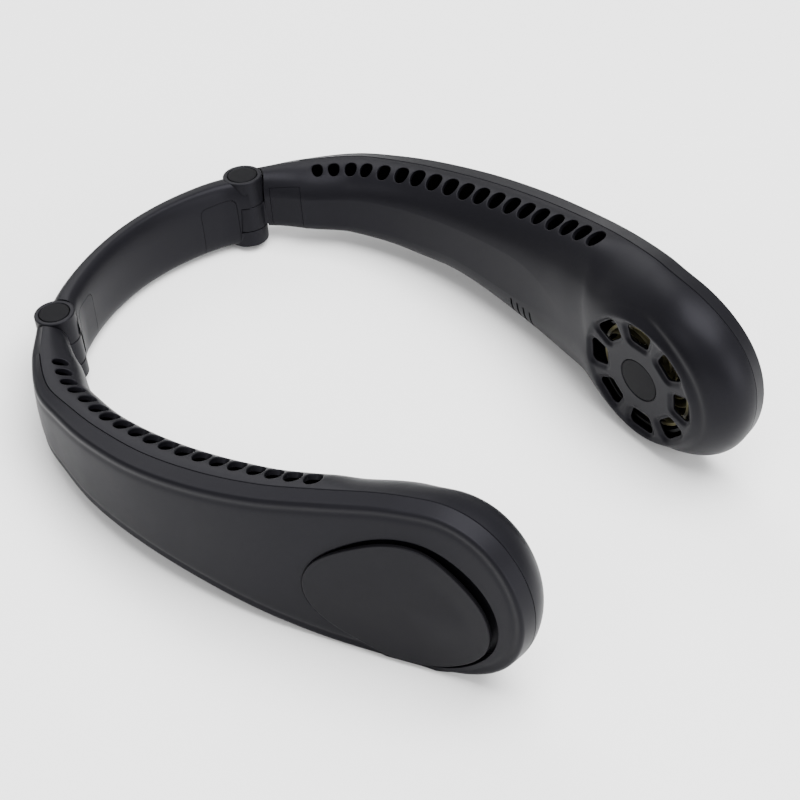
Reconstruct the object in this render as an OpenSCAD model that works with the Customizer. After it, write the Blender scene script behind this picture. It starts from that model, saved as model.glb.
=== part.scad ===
// Electric neck fan: a bridge behind the neck, two hinged arms, a blower in each head.
// The arms hang on hinge pins; the heads blow through vents along the arms.
// Lengths are in millimetres, +Z is up, -Y is where the wearer looks.

/* [Overall] */
// Half the width over the outer creases of the two arms
arm_half_span = 98.9; // [80:0.1:120]
// Reach of an arm from the hinge line to the tip of its head
arm_reach = 213; // [180:1:250]
// Height that the crease of an arm climbs from hinge to head
arm_rise = 25; // [15:0.5:35]
// Wall of every moulded shell
wall = 1.8; // [1.2:0.1:2.4]
// Seam between two shell halves
seam_gap = 0.1; // [0.05:0.05:0.3]
// Gap round panels that are let into a face
panel_gap = 0.15; // [0.1:0.05:0.4]

/* [Head] */
// Radius of the crease ring of a head, seen from the side
head_radius = 34; // [28:0.1:40]
// Share of the reach at which the head centre sits
head_reach_share = 0.838; // [0.8:0.001:0.9]
// Height of the head centre against the hinge cap, as a share of the rise
head_level_share = -0.36; // [-1:0.001:0.5]
// How far the seam stands above the upper crease
seam_rise = 1; // [0.5:0.1:2]
// How far the seam stands below the lower crease
seam_rise_low = 0.1; // [0:0.1:1]
// Crown of the arm's top between seam and vents
crown = 0.6; // [0:0.1:2]
// Bulge of the outer face
face_bulge = 0.6; // [0:0.1:1.5]
// Radius of the ridge round the grille
ridge_radius = 25.5; // [22:0.5:29]
// Radius of the recessed grille field
grille_radius = 24.5; // [20:0.5:27]
// Depth of the grille field below its ridge
grille_recess = 0.8; // [0.3:0.1:1.5]
// How far a grille centre stands inward of the outer crease
grille_inset = 23.029; // [20:0.01:26]
// Turn of the grille in plan
grille_yaw = 11.1; // [0:0.1:20]
// Tilt of the grille in side view, minus faces down
grille_pitch = -5.5; // [-12:0.1:12]

/* [Hinges] */
// Half distance between the two hinge axes at the caps
hinge_half_span = 50; // [40:0.5:60]
// Radius of the hinge barrels
barrel_radius = 7.16; // [6:0.01:9]
// Height of a hinge over all three barrels
hinge_height = 26.6; // [22:0.1:32]
// Share of the hinge height that the upper barrel takes
upper_share = 0.38346; // [0.3:0.001:0.42]
// Share of the hinge height that the arm's middle barrel takes
middle_share = 0.3609; // [0.3:0.001:0.4]
// Gap between two barrels
barrel_gap = 0.3; // [0.25:0.05:0.6]
// Radius of the steel hinge pin
pin_radius = 2; // [1.5:0.1:3]
// Running gap between pin and middle barrel
pin_clearance = 0.05; // [0.02:0.01:0.1]
// Lean of the hinge axes, top towards the back
hinge_lean = 7.36; // [0:0.1:15]
// Splay of the hinge axes, top outward
hinge_splay = 2.39; // [0:0.01:5]

/* [Bridge] */
// Outer face of the bridge behind the hinge line, at the middle
bridge_back = 15.4; // [10:0.1:20]
// Thickness of the bridge at the middle
bridge_thick = 7.6; // [6:0.1:12]
// How much lower the bridge is than a hinge
bridge_short = 0.6; // [0:0.1:3]

/* [Fan] */
// Outer radius of the blower wheel
wheel_radius = 20.2; // [16:0.1:21]
// Height of the blower wheel
wheel_height = 6.6; // [5:0.1:10]
// Number of wheel blades
wheel_blades = 20; // [11:1:25]
// Radius of the rotor can
rotor_radius = 7.4; // [6:0.1:9]
// Radius of the fan shaft
shaft_radius = 1; // [0.8:0.1:1.5]
// Running gap between shaft and bearing
shaft_clearance = 0.04; // [0.02:0.01:0.1]

/* [Vents and slots] */
// Number of vents along an arm
vent_count = 19; // [13:1:23]
// Width of a vent
vent_width = 4.1; // [3:0.1:5]
// Length of a vent
vent_length = 8.2; // [6:0.1:10]
// Number of grille slots
slot_count = 8; // [6:1:10]
// Turn of the grille slots
slot_phase = -3; // [-22:1:22]

/* [Controls] */
// Length of the power button
button_length = 9; // [6:0.5:14]
// Width of the power button
button_width = 4.4; // [3:0.1:6]
// Travel of the power button
button_travel = 0.6; // [0.3:0.1:1]
// Gap round the power button
button_gap = 0.3; // [0.2:0.05:0.5]

/* [Hidden] */
$fn = 48;
big = 400;
head_f = arm_reach * head_reach_share;
head_z = arm_rise * head_level_share;
seam_radius = head_radius + seam_rise;
grille_f = arm_reach * 0.8047;
grille_z = -arm_rise * 0.472;

// Shares of the reach at the guide stations, hinge to tip
guide_shares = [-0.02, -0.0019, 0.0441, 0.1136, 0.1854, 0.2634, 0.3700, 0.4826, 0.5878, 0.6826, 0.7761,
  0.8488, 0.9249, 1.02];
// Shares of the way from the hinge's to the arm's half span for the outer crease
span_shares = [0.08988, 0.17786, 0.43754, 0.71159, 0.84467, 0.94074, 0.99798, 0.97351, 0.88553,
  0.75669, 0.60116, 0.48669, 0.42945, 0.41509];
// Shares of the rise for the top crease
top_shares = [-0.060, -0.054, -0.024, 0.044, 0.124, 0.196, 0.304, 0.452, 0.62, 0.808, 0.965, 1, 1, 1];
// Shares of the rise for the bottom crease
bottom_shares = [-0.837, -0.847, -0.873, -0.913, -0.953, -1.021, -1.069, -1.201, -1.385, -1.557, -1.681,
  -1.72, -1.72, -1.72];
// Shares of the seam depth and of the inner depth
seam_depth = 6.8;
seam_shares = [0.30, 0.32, 0.44, 0.62, 0.79, 0.93, 1, 1, 0.956, 0.88, 0.81, 0.74, 0.74, 0.74];
inner_depth = 21.4;
inner_shares = [0.44, 0.46, 0.74, 0.87, 0.91, 0.98, 1.08, 1.12, 1.13, 1.18, 1.22, 1.22, 1.22, 1.22];
// Lean of the outer face, inward per unit of drop
lean_rates = [0.128, 0.128, 0.115, 0.085, 0.065, 0.05, 0.042, 0.036, 0.03, 0.03, 0.03, 0.03, 0.03, 0.03];
guide = guide_shares * arm_reach;

function spot(k, x, i = 0) = i >= len(k) - 2 || x <= k[i + 1] ? i : spot(k, x, i + 1);
function grade(k, v, i) =
  let (a = max(i - 1, 0), b = min(i + 1, len(k) - 1)) (v[b] - v[a]) / (k[b] - k[a]);
function blend(k, v, x) =
  let (i = spot(k, x), h = k[i + 1] - k[i], t = (x - k[i]) / h)
  let (p = grade(k, v, i) * h, q = grade(k, v, i + 1) * h, s = t * t, c = s * t)
  v[i] * (2 * c - 3 * s + 1) + p * (c - 2 * s + t) + v[i + 1] * (3 * s - 2 * c) + q * (c - s);
function crease_x(f) = hinge_half_span + (arm_half_span - hinge_half_span) * blend(guide, span_shares, f);
function crease_rate(f) = (crease_x(f + 0.5) - crease_x(f - 0.5));
function top_z(f) = arm_rise * blend(guide, top_shares, f);
function bottom_z(f) = arm_rise * blend(guide, bottom_shares, f);
function seam_w(f) = seam_depth * blend(guide, seam_shares, f);
function inner_w(f) = inner_depth * blend(guide, inner_shares, f);
function lean(f) = blend(guide, lean_rates, f);
function inward(f) = let (r = crease_rate(f)) [-1, -r, 0] / sqrt(1 + r * r);
function place(f, w, z) =
  [crease_x(f), -f, z] + inward(f) * (w + lean(f) * (top_z(f) - z));

// Loop round an arm: top stations, head arc, bottom stations
arm_steps = 18;
arc_steps = 32;
arc_over = 10.6;
arc_f = head_f - seam_radius * sin(arc_over);
function station(j, start) = start + (arc_f - start) * j / arm_steps;
function arc_angle(k) = -arc_over + (180 + 2 * arc_over) * k / arc_steps;
loop_count = 2 * arm_steps + arc_steps + 1;
function rise(a) = seam_rise_low + (seam_rise - seam_rise_low) * (1 + cos(a)) / 2;
function outline(inset, start, at_seam = 1) = concat(
  [for (j = [0 : arm_steps - 1]) let (f = station(j, start)) [f, top_z(f) + at_seam * seam_rise - inset]],
  [for (k = [0 : arc_steps]) let (a = arc_angle(k), r = head_radius + at_seam * rise(a) - inset)
    [head_f + r * sin(a), head_z + r * cos(a)]],
  [for (j = [arm_steps - 1 : -1 : 0]) let (f = station(j, start))
    [f, bottom_z(f) - at_seam * seam_rise_low + inset]]);

// Middle line that the outer face closes on
function middle(f) = let (m = min(f, head_f)) [m, (top_z(m) + bottom_z(m)) / 2];

// Grille frame: x up, y back, z towards the neck
grille_ex = [sin(grille_pitch) * cos(grille_yaw), -sin(grille_pitch) * sin(grille_yaw), cos(grille_pitch)];
grille_ey = [sin(grille_yaw), cos(grille_yaw), 0];
grille_ez = [-cos(grille_pitch) * cos(grille_yaw), cos(grille_pitch) * sin(grille_yaw), sin(grille_pitch)];
grille_at = [crease_x(grille_f) - grille_inset, -grille_f, grille_z];
module in_grille_frame() translate(grille_at) rotate([0, grille_pitch - 90, -grille_yaw]) children();
function ridge_point(a, r, d) =
  grille_at + grille_ex * (r * cos(a)) - grille_ey * (r * sin(a)) + grille_ez * d;

// Where a loop point lands on the inner face: arm middle line or grille ridge
ridge_start = arm_reach * 0.7;
ridge_run = arc_f - ridge_start;
soft_run = arm_reach * 0.1408;
crown_run = arm_reach * 0.1174;
ridge_total = ridge_run + seam_radius * (90 + arc_over) * PI / 180;
function ridge_angle(u) = -82 + 172 * pow(max(u, 0) / ridge_total, 0.48);
function loop_run(i) =
  let (m = i <= loop_count / 2 ? i : loop_count - 1 - i)
  m < arm_steps ? -1 : ridge_run + seam_radius * (arc_angle(m - arm_steps) + arc_over) * PI / 180;
function landing(i, f, inset) =
  let (low = i > loop_count / 2, run = loop_run(i), u = run < 0 ? f - ridge_start : run)
  u < 0
    ? place(f, inner_w(f) - inset, (top_z(f) + bottom_z(f)) / 2 + (low ? -1 : 1) * 0.4)
    : let (a = ridge_angle(u)) ridge_point(low ? 180 - a : a, ridge_radius - inset, -inset);
function head_softness(i, f) =
  let (run = loop_run(i), u = max(0, run < 0 ? f - ridge_start : run), a = ridge_angle(u))
  1.95 + 0.3 * cos((i > loop_count / 2 ? 180 - a : a) - 35);
function arm_softness(i, f) =
  let (t = max(0, min(1, (f / arm_reach - 0.05) / 0.28))) i > loop_count / 2 ? 7 - 3.2 * t : 2.4 + 0.25 * t;
function softness(i, f) =
  let (t = loop_run(i) < 0 ? max(0, min(1, (f - ridge_start) / soft_run + 1)) : 1)
  arm_softness(i, f) * (1 - t) + head_softness(i, f) * t;
function end_angle(i, f) = f < ridge_start - 1 && loop_run(i) < 0 ? 78 : 90;
function inner_ring(s, inset, start) =
  let (o = outline(inset, start))
  [for (i = [0 : loop_count - 1])
    let (f = o[i][0], p = place(f, seam_w(f), o[i][1]), n = inward(f), t = landing(i, f, inset) - p)
    let (d = t * n, e = t - n * d, a = s * end_angle(i, f), q = 2 / softness(i, f), h = pow(sin(a), q))
    p + n * d * h + e * (1 - pow(cos(a), q)) + [0, 0, 4 * crown * h * (1 - h) * crown_share(i, f)]];
function crown_share(i, f) =
  loop_run(i) >= 0 ? 0 : max(0, min(1, (ridge_start - f) / crown_run)) * (i > loop_count / 2 ? -0.4 : 1);
function level_ring(w, inset, start) =
  [for (p = outline(inset, start)) place(p[0], seam_w(p[0]) + w, p[1])];
function face_ring(s, w, inset, start) =
  [for (p = outline(inset, start, 0)) let (m = middle(p[0]), q = p + (m - p) * s)
    place(q[0], w - face_bulge * s * (2 - s), q[1])];

// Closed body from a stack of loops
module loft(rings, hub_a, hub_b, paired = true) {
  n = len(rings[0]);
  m = len(rings);
  k0 = paired ? arm_steps : 0;
  k1 = n - 1 - k0;
  a = n * m;
  b = a + 1;
  sides = [for (r = [0 : m - 2], i = [0 : n - 1]) let (p = r * n + i, q = r * n + (i + 1) % n)
    each [[p, q, p + n], [q, q + n, p + n]]];
  zip_a = paired ? [for (j = [0 : k0 - 1]) each [[j, n - 1 - j, j + 1], [n - 1 - j, n - 2 - j, j + 1]]] : [];
  zip_b = paired ? [for (j = [0 : k0 - 1]) let (o = (m - 1) * n)
    each [[o + j, o + j + 1, o + n - 1 - j], [o + n - 1 - j, o + j + 1, o + n - 2 - j]]] : [];
  fan_a = concat([for (i = [k0 : k1 - 1]) [a, i + 1, i]], [[a, k0, k1]]);
  fan_b = [for (t = concat([for (i = [k0 : k1 - 1]) [i, i + 1]], [[k1, k0]]))
    [b, (m - 1) * n + t[0], (m - 1) * n + t[1]]];
  polyhedron(concat([for (r = rings) each r], [hub_a, hub_b]), concat(sides, zip_a, zip_b, fan_a, fan_b));
}

arm_start = -0.018 * arm_reach;
cavity_start = 0.03 * arm_reach;
module inner_half() loft(
  concat([for (s = [0, 0.14, 0.28, 0.42, 0.56, 0.7, 0.85, 1]) inner_ring(s, 0, arm_start)]),
  place(head_f, seam_w(head_f), head_z), grille_at);
module inner_cavity() loft(
  concat([level_ring(-3, wall, cavity_start)],
    [for (s = [0, 0.2, 0.4, 0.6, 0.8, 1]) inner_ring(s, wall, cavity_start)]),
  place(head_f, seam_w(head_f) - 3, head_z), grille_at - grille_ez * wall);
module outer_half() loft(
  [face_ring(0.6, 0, 0, arm_start), face_ring(0.3, 0, 0, arm_start),
    face_ring(0, 0, 0, arm_start), level_ring(-seam_gap, 0, arm_start)],
  place(head_f, -face_bulge, head_z), place(head_f, seam_w(head_f) - seam_gap, head_z));
module outer_cavity() loft(
  [face_ring(0.6, wall, wall, cavity_start), face_ring(0, wall, wall, cavity_start),
    level_ring(2, wall, cavity_start)],
  place(head_f, wall - face_bulge, head_z), place(head_f, seam_w(head_f) + 2, head_z));

// Pose on a table: the part rests on the hinge rims and on a small flat under each head
foot_depth = 0.3;
foot_f = head_f - head_radius * 0.05;
foot = place(foot_f, seam_w(foot_f), bottom_z(foot_f) - seam_rise_low);
back_share = 0.939;
function axis_level(t) = cos(hinge_lean) * cos(hinge_splay) * cos(t) - sin(hinge_lean) * sin(t);
function lift_at(t) = hinge_height * axis_level(t) + barrel_radius * sqrt(1 - pow(axis_level(t), 2));
function tilt_at(lift) = asin(-(lift + foot_depth) / norm([foot[1], foot[2]])) - atan2(foot[2], -foot[1]);
rest_tilt = tilt_at(lift_at(tilt_at(lift_at(5))));
rest_lift = lift_at(rest_tilt);
front_reach = head_f * cos(rest_tilt) - head_z * sin(rest_tilt) + head_radius + rise(90);
centre_shift = (front_reach - bridge_back * back_share) / 2;
module foot_flat() difference() {
  children();
  box(-big, big, -big, big, -big, 0);
}

// Frames
module seat() translate([0, centre_shift, rest_lift]) rotate([-rest_tilt, 0, 0]) children();
module other_side() mirror([1, 0, 0]) children();
module at_hinge() translate([hinge_half_span, 0, 0]) rotate([-hinge_lean, hinge_splay, 0]) children();
module at_arm(f, w, z)
  translate(place(f, w, z)) rotate([0, 0, atan2(inward(f)[1], inward(f)[0]) + 180]) children();
module box(x0, x1, y0, y1, z0, z1) translate([x0, y0, z0]) cube([x1 - x0, y1 - y0, z1 - z0]);
module disc(r, z0, z1) translate([0, 0, z0]) cylinder(r = r, h = z1 - z0);
module ring(r0, r1, z0, z1) difference() {
  disc(r1, z0, z1);
  disc(r0, z0 - 1, z1 + 1);
}

// Hinge levels, all measured down from the cap
upper_barrel = hinge_height * upper_share;
middle_barrel = hinge_height * middle_share;
middle_top = -upper_barrel - barrel_gap;
middle_low = middle_top - middle_barrel;
lower_top = middle_low - barrel_gap;
cap_seat = 1.4;
cap_radius = barrel_radius * 0.74;
arm_face = barrel_radius * 1.145;
arm_face_turn = -21.2;
root_turn = 157;
fork_root_reach = barrel_radius * 2.3;
tab_root_reach = barrel_radius * 2.5;
root_thick = 4.4;
root_top = -hinge_height * 0.13534;
root_low = -hinge_height * 0.82707;
screw_radius = 1.1;
screw_head = 2;

module hinge_fork() at_hinge() difference() {
  union() {
    disc(barrel_radius, -upper_barrel, 0);
    disc(barrel_radius, -hinge_height, lower_top);
    rotate([0, 0, root_turn])
      box(0, fork_root_reach, -root_thick / 2, root_thick / 2, root_low, root_top);
  }
  disc(cap_radius + panel_gap * 2, -cap_seat, 1);
  disc(barrel_radius + 0.45, middle_low - barrel_gap, middle_top + barrel_gap);
  disc(pin_radius + 0.02, -hinge_height + 1, 1);
  disc(screw_head + 0.1, -hinge_height - 1, -hinge_height + 1.3);
}
module hinge_pin() at_hinge() disc(pin_radius, -hinge_height + 1.4, -cap_seat - 0.1);
module hinge_cap() at_hinge() disc(cap_radius, -cap_seat + 0.1, -0.1);
module hinge_screw() at_hinge() difference() {
  disc(screw_head, -hinge_height + 0.2, -hinge_height + 1.3);
  box(-screw_head * 0.6, screw_head * 0.6, -0.25, 0.25, -hinge_height - 1, -hinge_height + 0.6);
}
tab_start = pin_radius + 1.5;
module hinge_tab() at_hinge() difference() {
  union() {
    disc(barrel_radius, middle_low, middle_top);
    rotate([0, 0, arm_face_turn])
      box(tab_start, arm_face - 0.1, -barrel_radius * 0.78, barrel_radius * 0.2, middle_low + 0.1,
        middle_top - 0.1);
    rotate([0, 0, arm_face_turn - 9])
      box(tab_start, tab_root_reach, -root_thick / 2 - 0.6, root_thick / 2 - 1.2, middle_low + 1,
        middle_top - 1);
  }
  disc(pin_radius + pin_clearance, middle_low - 1, middle_top + 1);
}
module tab_opening() at_hinge() rotate([0, 0, arm_face_turn - 9])
  box(0, tab_root_reach + 0.2, -root_thick / 2 - 0.7, root_thick / 2 - 1.1, middle_low + 0.9,
    middle_top - 0.9);
module arm_end_cut() at_hinge() rotate([0, 0, arm_face_turn]) box(-big, arm_face, -big, big, -big, big);

// Bridge: plan curves in the leaning bridge frame
bridge_height = hinge_height - bridge_short;
bridge_end = hinge_half_span * 0.91;
bridge_steps = 20;
flare_from = hinge_half_span * 0.72;
bridge_over = bridge_height * 0.0923;
bridge_drop = bridge_height * 0.0808;
function bent(x) = x * x / hinge_half_span;
function bridge_out(x) = bridge_back - 0.19 * bent(x);
function bridge_in(x) = bridge_back - bridge_thick - 0.28 * bent(x) - 1.5 * bent(max(abs(x) - flare_from, 0));
function bridge_top(x) = bridge_over - bridge_drop * pow(x / bridge_end, 2);
function bridge_low(x) = bridge_top(x) - bridge_height;
function bow(v, n) = sign(v) * pow(abs(v), 2 / n);
function bridge_section(x, inset) =
  let (y0 = bridge_in(x), y1 = bridge_out(x), z0 = bridge_low(x), z1 = bridge_top(x))
  [for (a = [0 : 15 : 359]) let (n = a > 180 ? 4.8 : 3.2)
    [x, (y0 + y1) / 2 + ((y1 - y0) / 2 - inset) * bow(cos(a), n),
      (z0 + z1) / 2 + ((z1 - z0) / 2 - inset) * bow(sin(a), n)]];
module bridge_block(inset) rotate([-hinge_lean, 0, 0]) loft(
  [for (i = [0 : bridge_steps]) bridge_section(bridge_end * (1 - 2 * i / bridge_steps), inset)],
  [bridge_end, (bridge_in(bridge_end) + bridge_out(bridge_end)) / 2, -bridge_height / 2],
  [-bridge_end, (bridge_in(bridge_end) + bridge_out(bridge_end)) / 2, -bridge_height / 2], false);
seam_in = 2.6;
module bridge_side(back) rotate([-hinge_lean, 0, 0]) translate([0, 0, -big / 2]) linear_extrude(big)
  polygon(concat(
    [for (i = [0 : bridge_steps]) let (x = bridge_end * 1.02 * (1 - 2 * i / bridge_steps))
      [x, bridge_out(x) - seam_in + (back ? seam_gap : 0)]],
    [[-bridge_end * 1.02, back ? big : -big], [bridge_end * 1.02, back ? big : -big]]));
module barrel_space() {
  at_hinge() disc(barrel_radius + 0.12, -hinge_height - 9, 9);
  at_hinge() disc(barrel_radius + 0.6, lower_top - 0.1, middle_top + 0.4);
}
panel_depth = 1;
panel_top = -bridge_height * 0.2;
module bridge_panel_zone(g) rotate([-hinge_lean, 0, 0])
  box(hinge_half_span * 0.585 - g, hinge_half_span * 0.835 + g, -big, bridge_back * 0.3, -big, panel_top + g);
module bridge_shell(back) difference() {
  intersection() {
    difference() {
      bridge_block(0);
      bridge_block(wall);
    }
    bridge_side(back);
  }
  barrel_space();
  other_side() barrel_space();
  if (!back) {
    panel_pocket();
    other_side() panel_pocket();
  }
}
module panel_pocket() intersection() {
  difference() {
    bridge_block(-1);
    bridge_block(panel_depth + 0.1);
  }
  bridge_panel_zone(panel_gap);
}
module bridge_cover() color("#2f2f32") intersection() {
  difference() {
    bridge_block(0);
    bridge_block(panel_depth);
  }
  bridge_panel_zone(0);
}
wire_radius = 1;
wire_bend = 106.4;
wire_half = 18.6;
module bridge_wire() color("#5a1f1f") rotate([-hinge_lean, 0, 0])
  translate([0, bridge_back - bridge_thick / 2 - wire_bend, bridge_over - bridge_height / 2])
  rotate([0, 0, 90 - wire_half]) rotate_extrude(angle = 2 * wire_half, $fn = 96)
  translate([wire_bend, 0]) circle(r = wire_radius, $fn = 24);

// Arm shells
vent_knots = [0, 3, 6, 9, 12, 15, 18];
vent_shares = [0.0657, 0.1455, 0.2488, 0.3554, 0.4615, 0.5620, 0.6643];
vent_depths = [0.35, 0.47, 0.52, 0.545, 0.545, 0.545, 0.53];
vent_tilt = 38;
module vents() for (i = [0 : vent_count - 1]) {
  u = i * 18 / (vent_count - 1);
  f = arm_reach * blend(vent_knots, vent_shares, u);
  w = inner_depth * blend(vent_knots, vent_depths, u);
  run = (vent_length - vent_width) / 2;
  at_arm(f, w + run + vent_width / 2, top_z(f) + 0.6) rotate([0, -vent_tilt, 0]) hull() {
    translate([run, 0, -3.4]) cylinder(r = vent_width / 2, h = 9, $fn = 10);
    translate([-run, 0, -3.4]) cylinder(r = vent_width / 2, h = 9, $fn = 10);
  }
}
slot_inner = grille_radius * 0.71;
slot_outer = grille_radius * 0.88;
module slots() for (i = [0 : slot_count - 1]) rotate([0, 0, slot_phase + i * 360 / slot_count]) hull() {
  for (t = [-1, 1]) {
    translate([slot_inner, t * 2.3, -6]) cylinder(r = 2, h = 12, $fn = 12);
    translate([slot_outer, t * 2.9, -6]) cylinder(r = 2.4, h = 12, $fn = 12);
  }
}
disc_radius = grille_radius * 0.331;
grille_back = -3.2;
module grille_solid() in_grille_frame() disc(grille_radius - 0.5, grille_back, -grille_recess - 0.1);
module grille_cut() in_grille_frame() {
  disc(grille_radius, -grille_recess, 3);
  disc(disc_radius + panel_gap, -grille_recess - 1.2, 3);
  slots();
}
cover_turn = -55;
module arm_cover_zone(g) at_hinge() rotate([0, 0, cover_turn])
  box(barrel_radius * 1.34 - g, barrel_radius * 2.88 + g, -barrel_radius * 1.2, barrel_radius * 1.2, -big,
    -hinge_height * 0.2 + g);
module arm_skin(a, b, from) difference() {
  loft([for (s = [from, 0.5, 0.7, 0.85, 1]) inner_ring(s, a, arm_start)],
    place(head_f, seam_w(head_f) + 6, head_z), grille_at + grille_ez * -a);
  loft([for (s = [from - 0.1, 0.5, 0.7, 0.85, 1]) inner_ring(s, b, arm_start)],
    place(head_f, seam_w(head_f) + 5, head_z), grille_at - grille_ez * b);
}
module arm_inner_shell(controls) difference() {
  union() {
    difference() {
      inner_half();
      inner_cavity();
    }
    grille_solid();
    neck();
    if (controls) button_boss();
  }
  if (controls) control_openings();
  vents();
  grille_cut();
  arm_end_cut();
  tab_opening();
  slits();
  intersection() {
    arm_skin(-1, panel_depth + 0.1, 0.18);
    arm_cover_zone(panel_gap);
  }
}
module arm_cover() color("#2f2f32") intersection() {
  arm_skin(0, panel_depth, 0.3);
  arm_cover_zone(0);
}
module slits() for (i = [0 : 3])
  at_arm(arm_reach * (0.452 + 0.0125 * i), inner_depth - 0.6, bottom_z(arm_reach * 0.47))
  box(-2.2, 3, -0.4, 0.4, -0.6, 5);

// Egg outlines of the recess and of the plate, in reach and level
recess_a = [arm_reach * 0.826, -arm_rise * 0.52, head_radius * 0.82];
recess_b = [arm_reach * 0.73, -arm_rise * 0.6, head_radius * 0.53];
plate_a = [arm_reach * 0.829, -arm_rise * 0.6, head_radius * 0.715];
plate_b = [arm_reach * 0.724, -arm_rise * 0.68, head_radius * 0.44];
egg_steps = 40;
function egg(a, b, grow) =
  let (d = [b[0] - a[0], b[1] - a[1]], t = atan2(d[1], d[0]), g = acos((a[2] - b[2]) / norm(d)))
  let (na = round(egg_steps * (360 - 2 * g) / 360), nb = egg_steps - na)
  concat(
    [for (i = [0 : na - 1]) let (q = t - g - (360 - 2 * g) * i / (na - 1), r = a[2] + grow)
      [a[0] + r * cos(q), a[1] + r * sin(q)]],
    [for (i = [1 : nb]) let (q = t + g - 2 * g * i / (nb + 1), r = b[2] + grow)
      [b[0] + r * cos(q), b[1] + r * sin(q)]]);
module egg_block(a, b, grow, w0, w1) {
  c = [(a[0] * 2 + b[0]) / 3, (a[1] * 2 + b[1]) / 3];
  o = egg(a, b, grow);
  steps = [[0.35, w0], [0.7, w0], [1, w0], [1, w1], [0.7, w1], [0.35, w1]];
  loft([for (s = steps) [for (p = o) let (q = c + (p - c) * s[0]) place(q[0], s[1], q[1])]],
    place(c[0], w0, c[1]), place(c[0], w1, c[1]), false);
}
recess_depth = 3.3;
plate_proud = 1.8;
plate_thick = 1.5;
post_gap = 0.15;
module intake_holes() in_grille_frame() for (i = [0 : 11]) rotate([0, 0, i * 30])
  translate([grille_radius * 0.5, 0, housing_floor - 17.2]) cylinder(r = 2, h = 16, $fn = 20);
neck_turn = -37.7;
neck_reach = barrel_radius * 3.1;
module neck_zone(g) at_hinge() rotate([0, 0, neck_turn]) box(-big, neck_reach + g, -big, big, -big, big);
module neck() intersection() {
  difference() {
    loft([face_ring(0.6, 0, 0, arm_start), face_ring(0, 0, 0, arm_start),
      level_ring(0.3, 0, arm_start)],
      place(head_f, -face_bulge, head_z), place(head_f, seam_w(head_f), head_z));
    outer_cavity();
  }
  neck_zone(0);
}
module arm_outer_shell() difference() {
  union() {
    difference() {
      outer_half();
      outer_cavity();
    }
    egg_block(recess_a, recess_b, 1.2, 0.1, recess_depth + 1.5);
  }
  egg_block(recess_a, recess_b, 0, -4, recess_depth);
  intake_holes();
  arm_end_cut();
  tab_opening();
  neck_zone(seam_gap);
}
module outer_plate() color("#333336") union() {
  egg_block(plate_a, plate_b, 0, -plate_proud, plate_thick - plate_proud);
  for (p = [[0.86, -0.2], [0.86, -1.1], [0.72, -0.7]])
    at_arm(arm_reach * p[0], recess_depth - post_gap, arm_rise * p[1]) rotate([0, 90, 0])
      disc(1.6, 0, recess_depth - post_gap + plate_proud - plate_thick + 0.45);
}
module grille_disc() color("#232325") in_grille_frame()
  disc(disc_radius, -grille_recess - 1.1, -grille_recess - 0.2);

// Blower: all in the grille frame, level zero at the ridge plane, minus is outward
wheel_gap = 0.8;
housing_wall = 1;
housing_radius = wheel_radius + wheel_gap + housing_wall;
housing_floor = -12.8;
housing_top = grille_back - 0.05;
wheel_low = housing_floor + 1.8;
module blower_housing() color("#2a2a2c") in_grille_frame() difference() {
  union() {
    disc(housing_radius, housing_floor, housing_floor + 1);
    ring(housing_radius - housing_wall, housing_radius, housing_floor, housing_top);
  }
  box(-housing_radius * 0.45, housing_radius * 0.7, housing_radius * 0.5, housing_radius * 2,
    housing_floor + 1, housing_top + 1);
  disc(stator_radius * 0.5, housing_floor - 1, housing_floor + 2);
}
stator_radius = rotor_radius * 0.86;
module motor_stator() color("#8a5a2b") in_grille_frame() difference() {
  union() {
    disc(stator_radius, housing_floor + 1.02, wheel_low + 4.2);
    disc(stator_radius * 0.48, housing_floor + 0.1, wheel_low + 4.2);
  }
  disc(shaft_radius + shaft_clearance, housing_floor + 0.5, wheel_low + 6);
}
module rotor() color("#9a9aa0") in_grille_frame() union() {
  ring(rotor_radius - 0.6, rotor_radius, wheel_low + 0.3, wheel_low + 5.5);
  disc(rotor_radius, wheel_low + 4.7, wheel_low + 5.5);
  disc(shaft_radius, housing_floor + 0.9, wheel_low + 5);
}
hub_radius = rotor_radius + 1;
module impeller() color("#6b6446") in_grille_frame() difference() {
  union() {
    disc(hub_radius, wheel_low, wheel_low + 6.2);
    disc(wheel_radius, wheel_low, wheel_low + 0.8);
    ring(wheel_radius - 1, wheel_radius, wheel_low + wheel_height - 0.8, wheel_low + wheel_height);
    for (i = [0 : wheel_blades - 1]) rotate([0, 0, i * 360 / wheel_blades])
      translate([wheel_radius * 0.66, 0, wheel_low + 0.2]) rotate([0, 0, 34])
      box(0, wheel_radius * 0.355, -0.4, 0.4, 0, wheel_height - 0.4);
  }
  disc(rotor_radius + 0.01, wheel_low - 1, wheel_low + 5.51);
}

// Inside an arm: duct floor, battery, board, lead
module band(f0, f1, n, w0, w1, z0, z1) loft(
  [for (i = [0 : n]) let (f = f0 + (f1 - f0) * i / n, m = (top_z(f) + bottom_z(f)) / 2)
    [place(f, w0, m + z0), place(f, w0, m + z1), place(f, inner_w(f) - w1, m + z1),
      place(f, inner_w(f) - w1, m + z0)]],
  place(f0, inner_w(f0) / 2, (top_z(f0) + bottom_z(f0)) / 2 + (z0 + z1) / 2),
  place(f1, inner_w(f1) / 2, (top_z(f1) + bottom_z(f1)) / 2 + (z0 + z1) / 2), false);
duct_from = arm_reach * 0.17;
duct_to = arm_reach * 0.63;
duct_level = 2;
duct_gap = 0.3;
module air_duct() color("#26262a")
  band(duct_from, duct_to, 16, wall - face_bulge + duct_gap, wall + duct_gap, duct_level, duct_level + 1);
battery_at = arm_reach * 0.512;
battery_length = arm_reach * 0.19;
battery_thick = 8;
battery_high = 15;
battery_gap = 0.3;
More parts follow.
